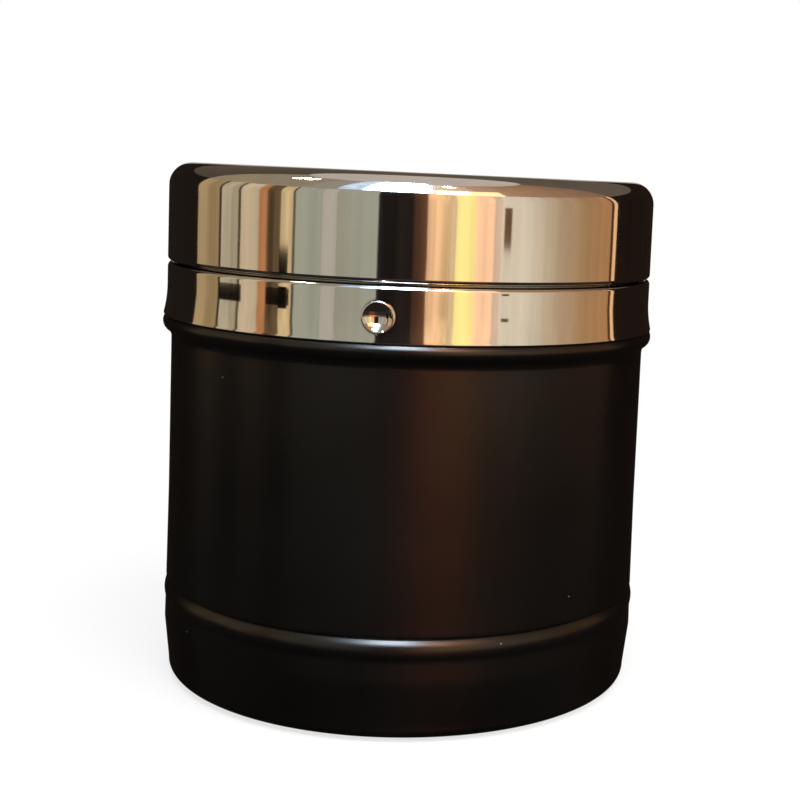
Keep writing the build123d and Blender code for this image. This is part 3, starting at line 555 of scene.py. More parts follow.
def bored(mesh, radius, height):
    """mesh with a round hole through its front wall, on the button's axis."""
    drill_mesh = bpy.data.meshes.new("drill")
    form = bmesh.new()
    bmesh.ops.create_cone(
        form, cap_ends=True, segments=48, radius1=radius, radius2=radius, depth=DRILL_LENGTH
    )
    turn = Matrix.Translation((0, -flare_radius, height)) @ Matrix.Rotation(math.pi / 2, 4, "X")
    bmesh.ops.transform(form, matrix=turn, verts=form.verts)
    form.to_mesh(drill_mesh)
    form.free()
    drill = shown("drill", drill_mesh)
    blank = shown("blank", mesh)
    cut = blank.modifiers.new("bore", "BOOLEAN")
    cut.operation = "DIFFERENCE"
    cut.solver = "EXACT"
    cut.object = drill
    bpy.context.view_layer.update()
    evaluated = blank.evaluated_get(bpy.context.evaluated_depsgraph_get())
    result = bpy.data.meshes.new_from_object(evaluated)
    bpy.data.objects.remove(blank)
    bpy.data.objects.remove(drill)
    smooth(result)
    return result


def collar_band():
    """The collar: a plated ring, eased at its top edge and flared out to the bead."""
    low, top = collar_low.z, collar_high.z
    r = flare_radius - COLLAR_FLARE
    inner = TUBE_RADIUS - TUBE_WALL
    section = [(inner, low)]
    section += arc((flare_radius - COLLAR_FOOT_EDGE, low + COLLAR_FOOT_EDGE), COLLAR_FOOT_EDGE, -90, 0, 5)
    for i in range(1, FLARE_STEPS + 1):
        t = i / FLARE_STEPS
        height = low + COLLAR_FOOT_EDGE + t * (COLLAR_FLARE_HEIGHT - COLLAR_FOOT_EDGE)
        section.append((r + COLLAR_FLARE * (1 - t) ** 2, height))
    section += run((r, low + COLLAR_FLARE_HEIGHT + WALL_START), (r, top - COLLAR_EDGE), 4)
    section += arc((r - COLLAR_EDGE, top - COLLAR_EDGE), COLLAR_EDGE, 0, 90, 8)
    section += [(inner, top)]
    mesh = bored(turned("collar_band", section), BUTTON_RADIUS + BUTTON_GAP, button_height)
    put("collar_band", mesh, CHROME, "drum", "collar_ring")


def body_wall():
    """The drum's tube: eased lower edge, straight wall and a rolled bead under the collar."""
    low, top = cup_high.z, tube_high.z
    foot = TUBE_RADIUS + TUBE_SPREAD
    bore = TUBE_RADIUS - TUBE_WALL
    bead_low = top - BEAD_HEIGHT
    neck_low = bead_low - NECK_HEIGHT
    section = [(SPIGOT_RADIUS, tube_low.z), (SPIGOT_RADIUS, low)]
    section += arc((foot - TUBE_EDGE, low + TUBE_EDGE), TUBE_EDGE, -90, 0, 6)
    spread_top = low + TUBE_SPREAD_HEIGHT
    section += run((foot - TUBE_FOOT_EASE, low + 2 * TUBE_EDGE), (TUBE_RADIUS, spread_top), 10)
    section += run((TUBE_RADIUS, spread_top), (TUBE_RADIUS, neck_low), 16)
    for i in range(NECK_STEPS):
        t = i / NECK_STEPS
        section.append((TUBE_RADIUS + NECK_REACH * t ** NECK_CURVE, neck_low + t * NECK_HEIGHT))
    section += through(
        (TUBE_RADIUS + NECK_REACH, bead_low),
        (bead_radius, top - BEAD_CROWN),
        (bead_radius - BEAD_RETURN, top),
    )
    section += [(bore, top), (bore, low + TUBE_WALL)]
    section += [(SPIGOT_RADIUS - TUBE_WALL, low + TUBE_WALL), (SPIGOT_RADIUS - TUBE_WALL, tube_low.z)]
    put("body_wall", turned("body_wall", section), ENAMEL, "drum", "body_tube")


def base_shell():
    """The base cup: a proud rolled lip, a gently drawn-in side and a rounded foot."""
    low, top = cup_low.z, cup_high.z
    section = [(PAD_RECESS, low)]
    section += arc((FOOT_RADIUS - FOOT_CORNER, low + FOOT_CORNER), FOOT_CORNER, -90, 0, 10)
    section += run((FOOT_RADIUS, low + FOOT_CORNER + WALL_START), (WAIST_RADIUS, WAIST_HEIGHT), 8)
    section += run((WAIST_RADIUS, WAIST_HEIGHT), (THROAT_RADIUS, top - LIP_HEIGHT), 5)
    section += through(
        (THROAT_RADIUS, top - LIP_HEIGHT),
        (lip_radius, top - LIP_CROWN),
        (lip_radius - LIP_ROUNDING, top),
    )
    section += [(CUP_SOCKET, top), (CUP_SOCKET, CUP_SHOULDER), (CUP_BORE, CUP_SHOULDER)]
    section += [(CUP_BORE, CUP_FLOOR_HIGH), (0, CUP_FLOOR_HIGH), (0, CUP_FLOOR_LOW)]
    section += [(PAD_RECESS, CUP_FLOOR_LOW)]
    put("base_shell", turned("base_shell", section), ENAMEL, "drum", "base_cup")


def button_head():
    """The push button: a straight stem with a plain dished face."""
    front, back = -button_low.y, -button_high.y
    dish = BUTTON_RADIUS - BUTTON_RIM
    ball = (dish ** 2 + BUTTON_DISH ** 2) / (2 * BUTTON_DISH)
    slope = math.asin(dish / ball)
    section = [(0, back), (BUTTON_RADIUS, back)]
    section += arc((BUTTON_RADIUS - HAIR_EDGE, front - HAIR_EDGE), HAIR_EDGE, 0, 90, 4)
    for i in range(DISH_STEPS):
        angle = slope * (1 - i / DISH_STEPS)
        section.append((ball * math.sin(angle), front - BUTTON_DISH + ball * (1 - math.cos(angle))))
    section.append((0, front - BUTTON_DISH))
    mesh = turned("button_head", section, BUTTON_STEPS)
    mesh.transform(Matrix.Translation((0, 0, button_height)) @ Matrix.Rotation(math.pi / 2, 4, "X"))
    put("button_head", mesh, CHROME, "button", "push_button")


# ---------- pieces grown by Geometry Nodes
def new_tree(name, sizes):
    """A geometry tree with named float inputs, and the node that offers them."""
    tree = bpy.data.node_groups.new(name, "GeometryNodeTree")
    for size in sizes:
        tree.interface.new_socket(size, in_out="INPUT", socket_type="NodeSocketFloat")
    tree.interface.new_socket("Geometry", in_out="OUTPUT", socket_type="NodeSocketGeometry")
    return tree, add(tree, "NodeGroupInput").outputs


def close_tree(tree, geometry, material):
    """Ends the tree in Realize Instances and Set Material."""
    real = add(tree, "GeometryNodeRealizeInstances", {"Geometry": geometry})
    faced = add(tree, "GeometryNodeSetMaterial", {"Geometry": real, "Material": material})
    add(tree, "NodeGroupOutput", {"Geometry": faced})


def grown(name, tree, sizes, place=Matrix.Identity(4), angle=40.0):
    """The tree's result for these sizes, as a plain mesh moved to its place."""
    host = shown(name, bpy.data.meshes.new(name))
    modifier = host.modifiers.new(name, "NODES")
    modifier.node_group = tree
    for socket in tree.interface.items_tree:
        if socket.in_out == "INPUT":
            modifier[socket.identifier] = float(sizes[socket.name])
    bpy.context.view_layer.update()
    evaluated = host.evaluated_get(bpy.context.evaluated_depsgraph_get())
    mesh = bpy.data.meshes.new_from_object(evaluated)
    bpy.data.objects.remove(host)
    mesh.transform(place)
    smooth(mesh, angle)
    return mesh


def coil_tree():
    """A round-wire coil along Z; where Leg is over 0 both ends run on straight, along +Y."""
    tree, size = new_tree("wire_coil", ["Radius", "Length", "Turns", "Wire", "Leg"])
    winding = {
        "Resolution": 20,
        "Rotations": size["Turns"],
        "Start Radius": size["Radius"],
        "End Radius": size["Radius"],
        "Height": size["Length"],
        "Reverse": True,
    }
    spiral = add(tree, "GeometryNodeCurveSpiral", winding)
    far_side = add(tree, "ShaderNodeMath", {0: size["Radius"], 1: -1.0}, operation="MULTIPLY")
    legs = add(tree, "GeometryNodeJoinGeometry")
    ends = []
    for corner in ({"X": size["Radius"]}, {"X": far_side, "Z": size["Length"]}):
        line = {
            "Start": add(tree, "ShaderNodeCombineXYZ", corner),
            "End": add(tree, "ShaderNodeCombineXYZ", corner | {"Y": size["Leg"]}),
        }
        ends.append(add(tree, "GeometryNodeCurvePrimitiveLine", line))
    for leg in ends:
        tree.links.new(leg.outputs[0], legs.inputs[0])
    wanted = add(tree, "FunctionNodeCompare", {"A": size["Leg"], "B": 0.0}, operation="GREATER_THAN")
    chosen = add(
        tree, "GeometryNodeSwitch", {"Switch": wanted, "True": legs}, input_type="GEOMETRY"
    )
    path = add(tree, "GeometryNodeJoinGeometry")
    for part in (spiral, chosen):
        tree.links.new(part.outputs[0], path.inputs[0])
    ring = add(tree, "GeometryNodeCurvePrimitiveCircle", {"Resolution": 8, "Radius": size["Wire"]})
    sweep = {"Curve": path, "Profile Curve": ring, "Fill Caps": True}
    close_tree(tree, add(tree, "GeometryNodeCurveToMesh", sweep), SPRING)
    return tree


def wick_tree():
    """A plaited cord along Z: strands wound both ways round a core."""
    tree, size = new_tree("plaited_cord", ["Radius", "Length", "Strand", "Strands", "Turns"])
    pieces = []
    ring = add(tree, "GeometryNodeCurvePrimitiveCircle", {"Resolution": 8, "Radius": size["Strand"]})
    # One point for each strand, all on the cord's axis.
    on_axis = {"Vertices": size["Strands"], "Radius": 0.0001 * MM}
    spots = add(tree, "GeometryNodeMeshCircle", on_axis)
    step = add(tree, "ShaderNodeMath", {0: 2 * math.pi, 1: size["Strands"]}, operation="DIVIDE")
    index = add(tree, "GeometryNodeInputIndex")
    turn = add(tree, "ShaderNodeMath", {0: index, 1: step}, operation="MULTIPLY")
    spin = add(tree, "ShaderNodeCombineXYZ", {"Z": turn})
    for way, inset in ((1.0, 0.0), (-1.0, STRAND_INSET)):
        sums = {0: size["Strand"], 1: -1.0 - inset, 2: size["Radius"]}
        shrunk = add(tree, "ShaderNodeMath", sums, operation="MULTIPLY_ADD")
        winding = {
            "Resolution": 16,
            "Rotations": size["Turns"],
            "Start Radius": shrunk,
            "End Radius": shrunk,
            "Height": size["Length"],
            "Reverse": way < 0,
        }
        spiral = add(tree, "GeometryNodeCurveSpiral", winding)
        sweep = {"Curve": spiral, "Profile Curve": ring, "Fill Caps": True}
        strand = add(tree, "GeometryNodeCurveToMesh", sweep)
        around = {"Points": spots, "Instance": strand, "Rotation": spin}
        pieces.append(add(tree, "GeometryNodeInstanceOnPoints", around))
    core_size = add(tree, "ShaderNodeMath", {0: size["Radius"], 1: WICK_CORE_SHARE}, operation="MULTIPLY")
    column = {"Vertices": 24, "Radius": core_size, "Depth": size["Length"]}
    core = add(tree, "GeometryNodeMeshCylinder", column)
    lift = add(tree, "ShaderNodeMath", {0: size["Length"], 1: 0.5}, operation="MULTIPLY")
    raised = {"Geometry": core, "Translation": add(tree, "ShaderNodeCombineXYZ", {"Z": lift})}
    pieces.append(add(tree, "GeometryNodeTransform", raised))
    whole = add(tree, "GeometryNodeJoinGeometry")
    for piece in pieces:
        tree.links.new(piece.outputs[0], whole.inputs[0])
    close_tree(tree, whole, COTTON)
    return tree


def wheel_tree():
    """A striker wheel along Z: rows of cut teeth round a rim, with a hub at each side."""
    names = ["Radius", "Thickness", "Tooth", "Teeth", "Rows", "Hub", "Hub Length"]
    tree, size = new_tree("striker_wheel", names)
    root = add(tree, "ShaderNodeMath", {0: size["Radius"], 1: size["Tooth"]}, operation="SUBTRACT")
    disc = {"Vertices": 96, "Radius": root, "Depth": size["Thickness"]}
    rim = add(tree, "GeometryNodeMeshCylinder", disc)
    stub = {"Vertices": 48, "Radius": size["Hub"], "Depth": size["Hub Length"]}
    hub = add(tree, "GeometryNodeMeshCylinder", stub)
    pitch = add(tree, "ShaderNodeMath", {0: size["Thickness"], 1: size["Rows"]}, operation="DIVIDE")
    span = add(tree, "ShaderNodeMath", {0: size["Thickness"], 1: pitch}, operation="SUBTRACT")
    rows = add(tree, "ShaderNodeMath", {0: size["Rows"], 1: 1.0}, operation="SUBTRACT")
    spots = add(
        tree,
        "GeometryNodeMeshCylinder",
        {"Vertices": size["Teeth"], "Side Segments": rows, "Radius": root, "Depth": span},
        fill_type="NONE",
    )
    where = add(tree, "GeometryNodeInputPosition")
    outward = add(tree, "ShaderNodeVectorMath", {0: where, 1: (1, 1, 0)}, operation="MULTIPLY")
    facing = add(
        tree, "FunctionNodeAlignRotationToVector", {"Vector": outward}, axis="Z", pivot_axis="Z"
    )
    base = add(tree, "ShaderNodeMath", {0: pitch, 1: TOOTH_BASE_SHARE}, operation="MULTIPLY")
    tooth = add(
        tree,
        "GeometryNodeMeshCone",
        {"Vertices": 4, "Radius Top": TOOTH_TIP, "Radius Bottom": base, "Depth": size["Tooth"]},
    )
    around = {"Points": spots, "Instance": tooth, "Rotation": facing}
    teeth = add(tree, "GeometryNodeInstanceOnPoints", around)
    whole = add(tree, "GeometryNodeJoinGeometry")
    for part in (rim, hub, teeth):
        tree.links.new(part.outputs[0], whole.inputs[0])
    close_tree(tree, whole, HARDENED)
    return tree


def grow_pieces():
    """Springs, wick and striker wheel."""
    coil = coil_tree()
    hinge = (pin_low + pin_high) / 2
    wire = LID_SPRING_WIRE
    spring_place = Matrix.Translation((coil_low.x + wire, hinge.y, hinge.z))
    spring_place = spring_place @ Matrix.Rotation(math.pi / 2, 4, "Y") @ Matrix.Rotation(math.pi, 4, "Z")
    sizes = {
        "Radius": (coil_high.z - coil_low.z) / 2 - wire,
        "Length": coil_high.x - coil_low.x - 2 * wire,
        "Turns": LID_SPRING_TURNS,
        "Wire": wire,
        "Leg": LID_SPRING_LEG,
    }
    mesh = grown("lid_spring_coil", coil, sizes, spring_place)
    piece = put("lid_spring_coil", mesh, SPRING, None, "lid_spring")
    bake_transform(piece)

    thin = FLINT_SPRING_WIRE
    middle = (flint_coil_low + flint_coil_high) / 2
    sizes = {
        "Radius": (flint_coil_high.x - flint_coil_low.x) / 2 - thin,
        "Length": flint_coil_high.z - flint_coil_low.z - 2 * thin,
        "Turns": FLINT_SPRING_TURNS,
        "Wire": thin,
        "Leg": 0.0,
    }
    place = Matrix.Translation((middle.x, middle.y, flint_coil_low.z + thin))
    mesh = grown("flint_spring_coil", coil, sizes, place)
    piece = put("flint_spring_coil", mesh, SPRING, "drum", "flint_spring")
    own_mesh(piece)

    middle = (wick_low + wick_high) / 2
    sizes = {
        "Radius": (wick_high.x - wick_low.x) / 2,
        "Length": wick_high.z - wick_low.z,
        "Strand": STRAND_RADIUS,
        "Strands": STRANDS,
        "Turns": STRAND_TURNS,
    }
    place = Matrix.Translation((middle.x, middle.y, wick_low.z))
    put("wick_cord", grown("wick_cord", wick_tree(), sizes, place), COTTON, "drum", "wick")

    middle = (wheel_low + wheel_high) / 2
    sizes = {
        "Radius": (wheel_high.x - wheel_low.x) / 2,
        "Thickness": WHEEL_THICKNESS,
        "Tooth": TOOTH_HEIGHT,
        "Teeth": TEETH,
        "Rows": TOOTH_ROWS,
        "Hub": HUB_RADIUS,
        "Hub Length": wheel_high.y - wheel_low.y,
    }
    place = Matrix.Translation(middle) @ Matrix.Rotation(math.pi / 2, 4, "X")
    mesh = grown("striker_wheel", wheel_tree(), sizes, place, 20.0)
    put("striker_wheel", mesh, HARDENED, "wheel", "flint_wheel")


def bend_blade(piece):
    """Cuts the spring catch's blade across into rows, giving it points to bend at; the real blade bends
    back as the button goes in.
    """
    low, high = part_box("spring_catch")
    form = bmesh.new()
    form.from_mesh(piece.data)
    for i in range(1, BLADE_STEPS):
        level = Vector((0, 0, low.z + (high.z - low.z) * i / BLADE_STEPS))
        everything = form.verts[:] + form.edges[:] + form.faces[:]
        bmesh.ops.bisect_plane(form, geom=everything, plane_co=level, plane_no=(0, 0, 1))
    form.to_mesh(piece.data)
    form.free()
    smooth(piece.data)
    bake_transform(piece)


# ---------- build the object
# Pieces that keep the CAD's own shape: (node, finish, width of the broken edges in mm).
DRESSED = [
    ("lid_hinge_leaf", CHROME, 0.1),
    ("collar_hinge_leaf", CHROME, 0.1),
    ("hinge_pin", SPRING, 0.0),
    ("lid_liner", SPUN, 0.08),
    ("lid_strike", BRUSHED, 0.05),
    ("guide_ring", SPUN, 0.0),
    ("deck_plate", SPUN, 0.1),
    ("deck_screws", ZINC, 0.12),
    ("burner_sleeve", BRUSHED, 0.0),
    ("burner_can", BRUSHED, 0.0),
    ("chimney", BRUSHED, 0.06),
    ("wheel_axle", BRASS, 0.12),
    ("flint_tube", BRASS, 0.06),
    ("flint", FERRO, 0.06),
    ("flint_screw", BRASS, 0.08),
    ("packing", WADDING, 0.5),
    ("felt_pad", GREY_FELT, 0.3),
    ("foot_pad", BLACK_FELT, 0.25),
    ("base_weight", IRON, 0.2),
    ("base_screws", ZINC, 0.08),
    ("button_clip", SPRING, 0.04),
    ("spring_catch", SPRING, 0.05),
    ("catch_rivets", ZINC, 0.15),
]

lid_cap()
collar_band()
body_wall()
base_shell()
button_head()
grow_pieces()

for node, finish, edge_mm in DRESSED:
    piece = dressed(node, finish, edge_mm * MM, rides=node != "spring_catch")
    if node == "spring_catch":
        bend_blade(piece)


# ---------- camera
CAMERA_AZIMUTH = math.radians(6.4)      # round from the front, towards +X
CAMERA_DISTANCE = 230.2 * MM            # from the drum's axis
CAMERA_HEIGHT = 78.1 * MM
CAMERA_PITCH = math.radians(6.43)       # downwards
CAMERA_YAW = math.radians(5.06)         # the lens points to the right of the drum
CAMERA_ROLL = math.radians(2.62)        # the object's right side sits lower in the frame
CAMERA_SENSOR = 36.0                    # millimetres
CAMERA_LENS = 65.8                      # millimetres
CAMERA_NEAR = 5.0 * MM
CAMERA_SHIFT = (-0.173, -0.072)         # in frame widths; the lens axis lies off the frame's middle


def make_camera():
    view = bpy.data.cameras.new("camera")
    view.lens = CAMERA_LENS
    view.sensor_width = CAMERA_SENSOR
    view.shift_x, view.shift_y = CAMERA_SHIFT
    view.clip_start = CAMERA_NEAR
    camera = shown("camera", view)
    turn = Matrix.Rotation(CAMERA_AZIMUTH, 4, "Z")
    aim = Matrix.Rotation(-CAMERA_YAW, 4, "Z") @ Matrix.Rotation(math.pi / 2 - CAMERA_PITCH, 4, "X")
    roll = Matrix.Rotation(CAMERA_ROLL, 4, "Z")
    stand = Matrix.Translation((0, -CAMERA_DISTANCE, CAMERA_HEIGHT))
    camera.matrix_world = turn @ stand @ aim @ roll
    bpy.context.scene.camera = camera


# ---------- studio
FOLDS = (45.0, 6.0, (1, 1, 0.08))       # a card's streaks: size in mm, detail, stretch
FLOOR_REACH = 3.0
FLOOR_GAP = 0.05 * MM                   # between the floor and the drum's foot
SHADOW_FADE = (60 * MM, 160 * MM)       # distances over which the contact shadow fades to white
WHITE_NEAR = 0.72                       # share of plain white in the floor inside that
SKY_COLOUR = (0.93, 0.96, 1.0, 1.0)
SKY_STRENGTH = 0.75
LAMP_AIM = Vector((0, 0, 40 * MM))


def glow(name, colour, far_colour, strength, streaks):
    """A glowing card, one colour blending into the other, with upright streaks like a curtain's."""
    made, tree, place = new_material(name)
    across = add(tree, "ShaderNodeAttribute", attribute_name="across").outputs["Fac"]
    folds = {
        "Value": mottle(tree, place, *FOLDS),
        "From Min": 0.1,
        "From Max": 0.9,
        "To Min": strength * (1 - 2 * streaks),
        "To Max": strength * (1 + 2 * streaks),
    }
    level = add(tree, "ShaderNodeMapRange", folds)
    blend = add(tree, "ShaderNodeValToRGB", {"Fac": across}, [(0.0, colour), (1.0, far_colour)])
    lit = add(tree, "ShaderNodeEmission", {"Color": blend, "Strength": level})
    add(tree, "ShaderNodeOutputMaterial", {"Surface": lit})
    return made


# Sections of the cards: points of (distance from the drum's axis, height).
WALL_DISTANCE = 0.62
WALL_TOP = 0.33
SKIRT_TOP = -0.012
FLOOR_LEVEL = -0.34
WALL = [(WALL_DISTANCE, SKIRT_TOP), (WALL_DISTANCE, WALL_TOP)]
SKIRT_MIDDLE = -0.10
SKIRT = [(WALL_DISTANCE, SKIRT_MIDDLE), (WALL_DISTANCE, SKIRT_TOP)]
SKIRT_LOW = [(WALL_DISTANCE, FLOOR_LEVEL), (WALL_DISTANCE, SKIRT_MIDDLE)]
GROUND = [(0.001, FLOOR_LEVEL - 0.05), (WALL_DISTANCE, FLOOR_LEVEL)]
REAR = [(WALL_DISTANCE, FLOOR_LEVEL), (WALL_DISTANCE, WALL_TOP)]
CEILING = [(WALL_DISTANCE, WALL_TOP), (0.50, 0.54), (0.30, 0.70)]
CEILING_CAP = [(0.31, 0.69), (0.001, 0.76)]
SILL = [(0.61, 0.32), (0.60, 0.36)]
WINDOW = [(0.60, 0.36), (0.46, 0.53), (0.25, 0.68)]
SHADE = [(0.60, 0.32), (0.50, 0.46)]
CASE = [(0.60, -0.20), (0.60, 0.017)]
CASE_TOP = [(0.595, 0.0), (0.595, 0.036)]
BAR = [(0.60, 0.041), (0.60, 0.066)]
SPOT = [(0.32, 0.48), (0.28, 0.52)]

# The room seen in the plate and the enamel: (name, from azimuth, to azimuth, section, colour at
# the first azimuth, colour at the second, strength, streaks). Azimuth is in degrees round from the
# camera, positive to its right; streaks is how much the brightness varies across the card.
CARDS = [
    ("oak_panel_left", -113, -96, WALL, "#A88F6A", "#8F7652", 1.43, 0.2),
    ("dark_joint_left", -96, -94.5, WALL, "#3A2E22", "#3A2E22", 1.0, 0.1),
    ("grey_curtain", -94.5, -83.5, WALL, "#A89C84", "#93876F", 1.49, 0.3),
    ("dark_joint_middle", -83.5, -82, WALL, "#4A3E30", "#4A3E30", 1.0, 0.1),
    ("cream_panel", -82, -71.5, WALL, "#B8A486", "#C4B092", 1.43, 0.2),
    ("orange_shade", -71.5, -67, WALL, "#CC8C5C", "#B87A50", 1.1, 0.3),
    ("brown_shelf", -67, -60, WALL, "#6A543C", "#6A543C", 1.1, 0.7),
    ("bright_doorway", -60, -54, WALL, "#DCC090", "#CDB184", 1.2, 0.5),
    ("dark_frame", -54, -52.7, WALL, "#5A5044", "#5A5044", 1.0, 0.1),
    ("grey_green_wall", -52.7, -40, WALL, "#A2A290", "#9A9A8A", 1.43, 0.1),
    ("pale_post", -40, -33.5, WALL, "#AEA69A", "#AEA69A", 1.49, 0.1),
    ("warm_grey_wall", -33.5, -15.3, WALL, "#A6A290", "#A8A898", 1.25, 0.1),
    ("camera_stand", -15.3, 0, WALL, "#211E1E", "#2A211C", 1.0, 0.4),
    ("brown_sleeve", 0, 6, WALL, "#4A342A", "#7A5038", 1.0, 0.4),
    ("orange_blind", 6, 15.5, WALL, "#F0BC90", "#F4C890", 1.28, 0.5),
    ("cream_blind_edge", 15.5, 18.5, WALL, "#D0B088", "#D0B088", 1.4, 0.5),
    ("sunlit_blind", 18.5, 27, WALL, "#FFEE98", "#FFE890", 1.36, 0.15),
    ("sunlit_wall", 27, 35.5, WALL, "#FFCFA2", "#FFC49C", 1.4, 0.25),
    ("sunlit_wall_edge", 35.5, 39, WALL, "#CCB098", "#D2B49C", 1.25, 0.3),
    ("brown_bar", 40, 43.5, BAR, "#6E4A2C", "#6E4A2C", 1.0, 0.1),
    ("beige_wall", 39, 54, WALL, "#CEC0AA", "#C6BAA4", 1.56, 0.1),
    ("grey_beige_wall", 54, 66, WALL, "#C6BAA4", "#B29A7E", 1.49, 0.1),
    ("tan_wall", 66, 84, WALL, "#B29A7E", "#A07C56", 1.43, 0.1),
    ("brown_wall", 84, 101.5, WALL, "#A07C56", "#A87850", 1.43, 0.1),
    ("dark_gap_right", 101.5, 103.5, WALL, "#4A2E1C", "#4A2E1C", 1.0, 0.1),
    ("pale_strip_right", 103.5, 106, WALL, "#D8AA7C", "#D8AA7C", 1.69, 0.1),
    ("dark_room_right", 106, 166, REAR, "#241A15", "#241A15", 1.0, 0.1),
    ("pale_door_behind", 166, 194, REAR, "#B8B0A6", "#B8B0A6", 1.0, 0.1),
    ("dark_room_left", 194, 247, REAR, "#221C18", "#221C18", 1.0, 0.1),
    ("dark_case_far", -95.5, -81, CASE, "#100C0A", "#100C0A", 1.0, 0.1),
    ("dark_case_near", -67, -55, CASE, "#14110E", "#14110E", 1.0, 0.1),
    ("dark_case_top", -60.2, -55.8, CASE_TOP, "#0C0908", "#0C0908", 1.0, 0.1),
    ("low_cupboard_left", -113, -60, SKIRT, "#5C5249", "#5C5249", 1.0, 0.1),
    ("low_cupboard_middle", -60, -22, SKIRT, "#6C645C", "#6C645C", 1.0, 0.1),
    ("table_edge", -22, -12, SKIRT, "#74685E", "#74685E", 1.0, 0.1),
    ("brown_stand_foot", -12, -3, SKIRT, "#8C6C60", "#8C6C60", 1.0, 0.1),
    ("red_rug_edge", -3, 6, SKIRT, "#C07C66", "#F08C68", 1.05, 0.1),
    ("red_rug", 6, 27, SKIRT, "#FF9468", "#FF9468", 1.15, 0.1),
    ("red_rug_far", 27, 40, SKIRT, "#C48A68", "#A07C64", 1.05, 0.1),
    ("brown_carpet", 40, 55, SKIRT, "#987868", "#987868", 1.0, 0.1),
    ("brown_carpet_right", 55, 106, SKIRT, "#6E5648", "#6E5648", 1.0, 0.1),
    ("low_cupboard_foot", -113, -12, SKIRT_LOW, "#363330", "#363330", 1.0, 0.1),
    ("brown_stand_base", -12, 4, SKIRT_LOW, "#483A32", "#483A32", 1.0, 0.1),
    ("red_rug_shaded", 4, 34, SKIRT_LOW, "#824A36", "#824A36", 1.0, 0.1),
    ("brown_carpet_shaded", 34, 106, SKIRT_LOW, "#3A302A", "#3A302A", 1.0, 0.1),
    ("dark_ground", -180, 180, GROUND, "#2A2520", "#2A2520", 1.0, 0.1),
    ("ceiling_left", -113, -52, CEILING, "#98886E", "#9C8E78", 1.15, 0.1),
    ("ceiling_mid_left", -52, -17, CEILING, "#9A9080", "#A09A90", 1.25, 0.1),
    ("ceiling_middle", -17, 9, CEILING, "#9FA2A4", "#9FA2A4", 1.2, 0.1),
    ("ceiling_right", 9, 30, CEILING, "#CBB4A4", "#B09480", 1.8, 0.1),
    ("ceiling_mid_right", 30, 50, CEILING, "#9C7E68", "#8C7058", 1.9, 0.1),
    ("ceiling_far_right", 50, 106, CEILING, "#84664C", "#6A5040", 2.2, 0.1),
    ("ceiling_rear", 106, 247, CEILING, "#6A5E50", "#544A40", 1.1, 0.1),
    ("ceiling_cap", -180, 180, CEILING_CAP, "#8E857E", "#8E857E", 2.4, 0.1),
    ("window_sill", -16, 9, SILL, "#A89C94", "#A89C94", 1.0, 0.1),
    ("window_curtain", -36, -24, WINDOW, "#B8CCE0", "#C4D8EE", 1.6, 0.4),
    ("window_side", -24, -15, WINDOW, "#C8DCF0", "#C8DCF0", 9.0, 0.3),
    ("window", -15, 8, WINDOW, "#CCE4FF", "#CCE4FF", 32.0, 0.1),
    ("lamp_shade_right", 10, 26, SHADE, "#FFB478", "#FFB478", 10.0, 0.1),
    ("lamp_shade_far_right", 26, 42, SHADE, "#E0A478", "#E0A478", 4.0, 0.1),
    ("ceiling_spot_left", -80, -75, SPOT, "#FFFFFF", "#FFFFFF", 60.0, 0.1),
    ("ceiling_spot_near_left", -70, -67, SPOT, "#FFF0D0", "#FFF0D0", 40.0, 0.1),
    ("ceiling_spot_middle", -8, -3, SPOT, "#F4FAFF", "#F4FAFF", 60.0, 0.1),
    ("ceiling_spot_right", 18, 22, SPOT, "#FFE0C0", "#FFE0C0", 60.0, 0.1),
]


def make_card(name, start, end, section, *look):
    """A curved card round the object, seen only in reflections."""
    mesh = bpy.data.meshes.new(name)
    form = bmesh.new()
    steps = max(2, int(abs(end - start) / 3))
    columns = []
    for i in range(steps + 1):
        angle = CAMERA_AZIMUTH + math.radians(start + (end - start) * i / steps)
        across, along = math.sin(angle), -math.cos(angle)
        columns.append([form.verts.new((r * across, r * along, z)) for r, z in section])
    for left, right in zip(columns, columns[1:]):
        for k in range(len(section) - 1):
            form.faces.new((left[k], right[k], right[k + 1], left[k + 1]))
    form.to_mesh(mesh)
    form.free()
    across = mesh.attributes.new("across", "FLOAT", "POINT")
    for i in range(steps + 1):
        for k in range(len(section)):
            across.data[i * len(section) + k].value = i / steps
    mesh.materials.append(glow(name, *look))
    card = shown(name, mesh)
    card.visible_camera = False
    card.visible_diffuse = False
    card.visible_shadow = False


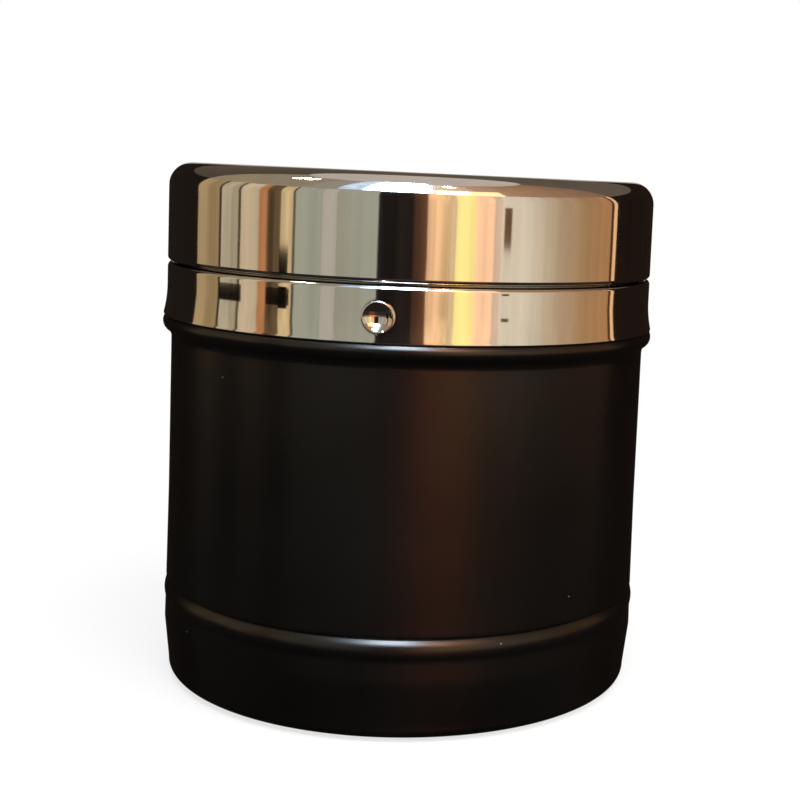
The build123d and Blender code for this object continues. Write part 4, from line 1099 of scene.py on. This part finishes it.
def make_floor():
    """A plain pale table top, clear from underneath."""
    mesh = bpy.data.meshes.new("floor")
    form = bmesh.new()
    bmesh.ops.create_grid(form, x_segments=1, y_segments=1, size=FLOOR_REACH)
    form.to_mesh(mesh)
    form.free()
    made, tree, place = new_material("pale_floor")
    matt = add(tree, "ShaderNodeBsdfDiffuse", {"Color": linear("#F4F4F2")})
    white = add(tree, "ShaderNodeEmission", {"Color": (1, 1, 1, 1), "Strength": 1.0})
    seen = add(tree, "ShaderNodeLightPath").outputs["Is Camera Ray"]
    away = add(tree, "ShaderNodeVectorMath", {0: place}, operation="LENGTH").outputs["Value"]
    near, far = SHADOW_FADE
    fade = {"Value": away, "From Min": near, "From Max": far, "To Min": WHITE_NEAR, "To Max": 1.0}
    clear = add(tree, "ShaderNodeMapRange", fade)
    share = add(tree, "ShaderNodeMath", {0: seen, 1: clear}, operation="MULTIPLY")
    mixed = add(tree, "ShaderNodeMixShader", {0: share, 1: matt, 2: white})
    under = add(tree, "ShaderNodeNewGeometry").outputs["Backfacing"]
    hole = add(tree, "ShaderNodeBsdfTransparent")
    one_sided = add(tree, "ShaderNodeMixShader", {0: under, 1: mixed, 2: hole})
    add(tree, "ShaderNodeOutputMaterial", {"Surface": one_sided})
    mesh.materials.append(made)
    mesh.transform(Matrix.Translation((0, 0, -FLOOR_GAP)))
    floor = shown("floor", mesh)
    floor.visible_glossy = False


def make_world():
    """White for the camera and in reflections, a soft even light on everything else."""
    world = bpy.data.worlds.new("studio")
    world.use_nodes = True
    tree = world.node_tree
    tree.nodes.clear()
    path = add(tree, "ShaderNodeLightPath").outputs
    seen = path["Is Camera Ray"]
    for ray in ("Is Glossy Ray", "Is Transmission Ray"):
        seen = add(tree, "ShaderNodeMath", {0: seen, 1: path[ray]}, operation="MAXIMUM")
    soft = add(tree, "ShaderNodeBackground", {"Color": SKY_COLOUR, "Strength": SKY_STRENGTH})
    white = add(tree, "ShaderNodeBackground", {"Color": (1, 1, 1, 1), "Strength": 1.0})
    mixed = add(tree, "ShaderNodeMixShader", {0: seen, 1: soft, 2: white})
    add(tree, "ShaderNodeOutputWorld", {"Surface": mixed})
    bpy.context.scene.world = world


def make_lamp(name, azimuth, elevation, distance, size, power, colour):
    """A square soft box aimed at the drum; azimuth is round from the camera."""
    lamp = bpy.data.lights.new(name, "AREA")
    lamp.size = size
    lamp.energy = power
    lamp.color = linear(colour)[:3]
    spot = shown(name, lamp)
    a = CAMERA_AZIMUTH + math.radians(azimuth)
    e = math.radians(elevation)
    way = Vector((math.sin(a) * math.cos(e), -math.cos(a) * math.cos(e), math.sin(e)))
    spot.location = LAMP_AIM + way * distance
    spot.rotation_mode = "QUATERNION"
    spot.rotation_quaternion = (-way).to_track_quat("-Z", "Y")
    spot.visible_glossy = False


# Lamps: (name, azimuth and elevation in degrees, distance, size, watts, colour).
LAMPS = [
    ("overhead_soft_box", 10, 62, 0.9, 0.5, 6.0, "#FFFDF8"),
    ("right_soft_box", 60, 30, 0.9, 0.4, 3.0, "#FFF3E0"),
]

make_camera()
make_floor()
make_world()
for card in CARDS:
    make_card(*card)
for lamp in LAMPS:
    make_lamp(*lamp)
bpy.context.scene.view_settings.view_transform = "Standard"
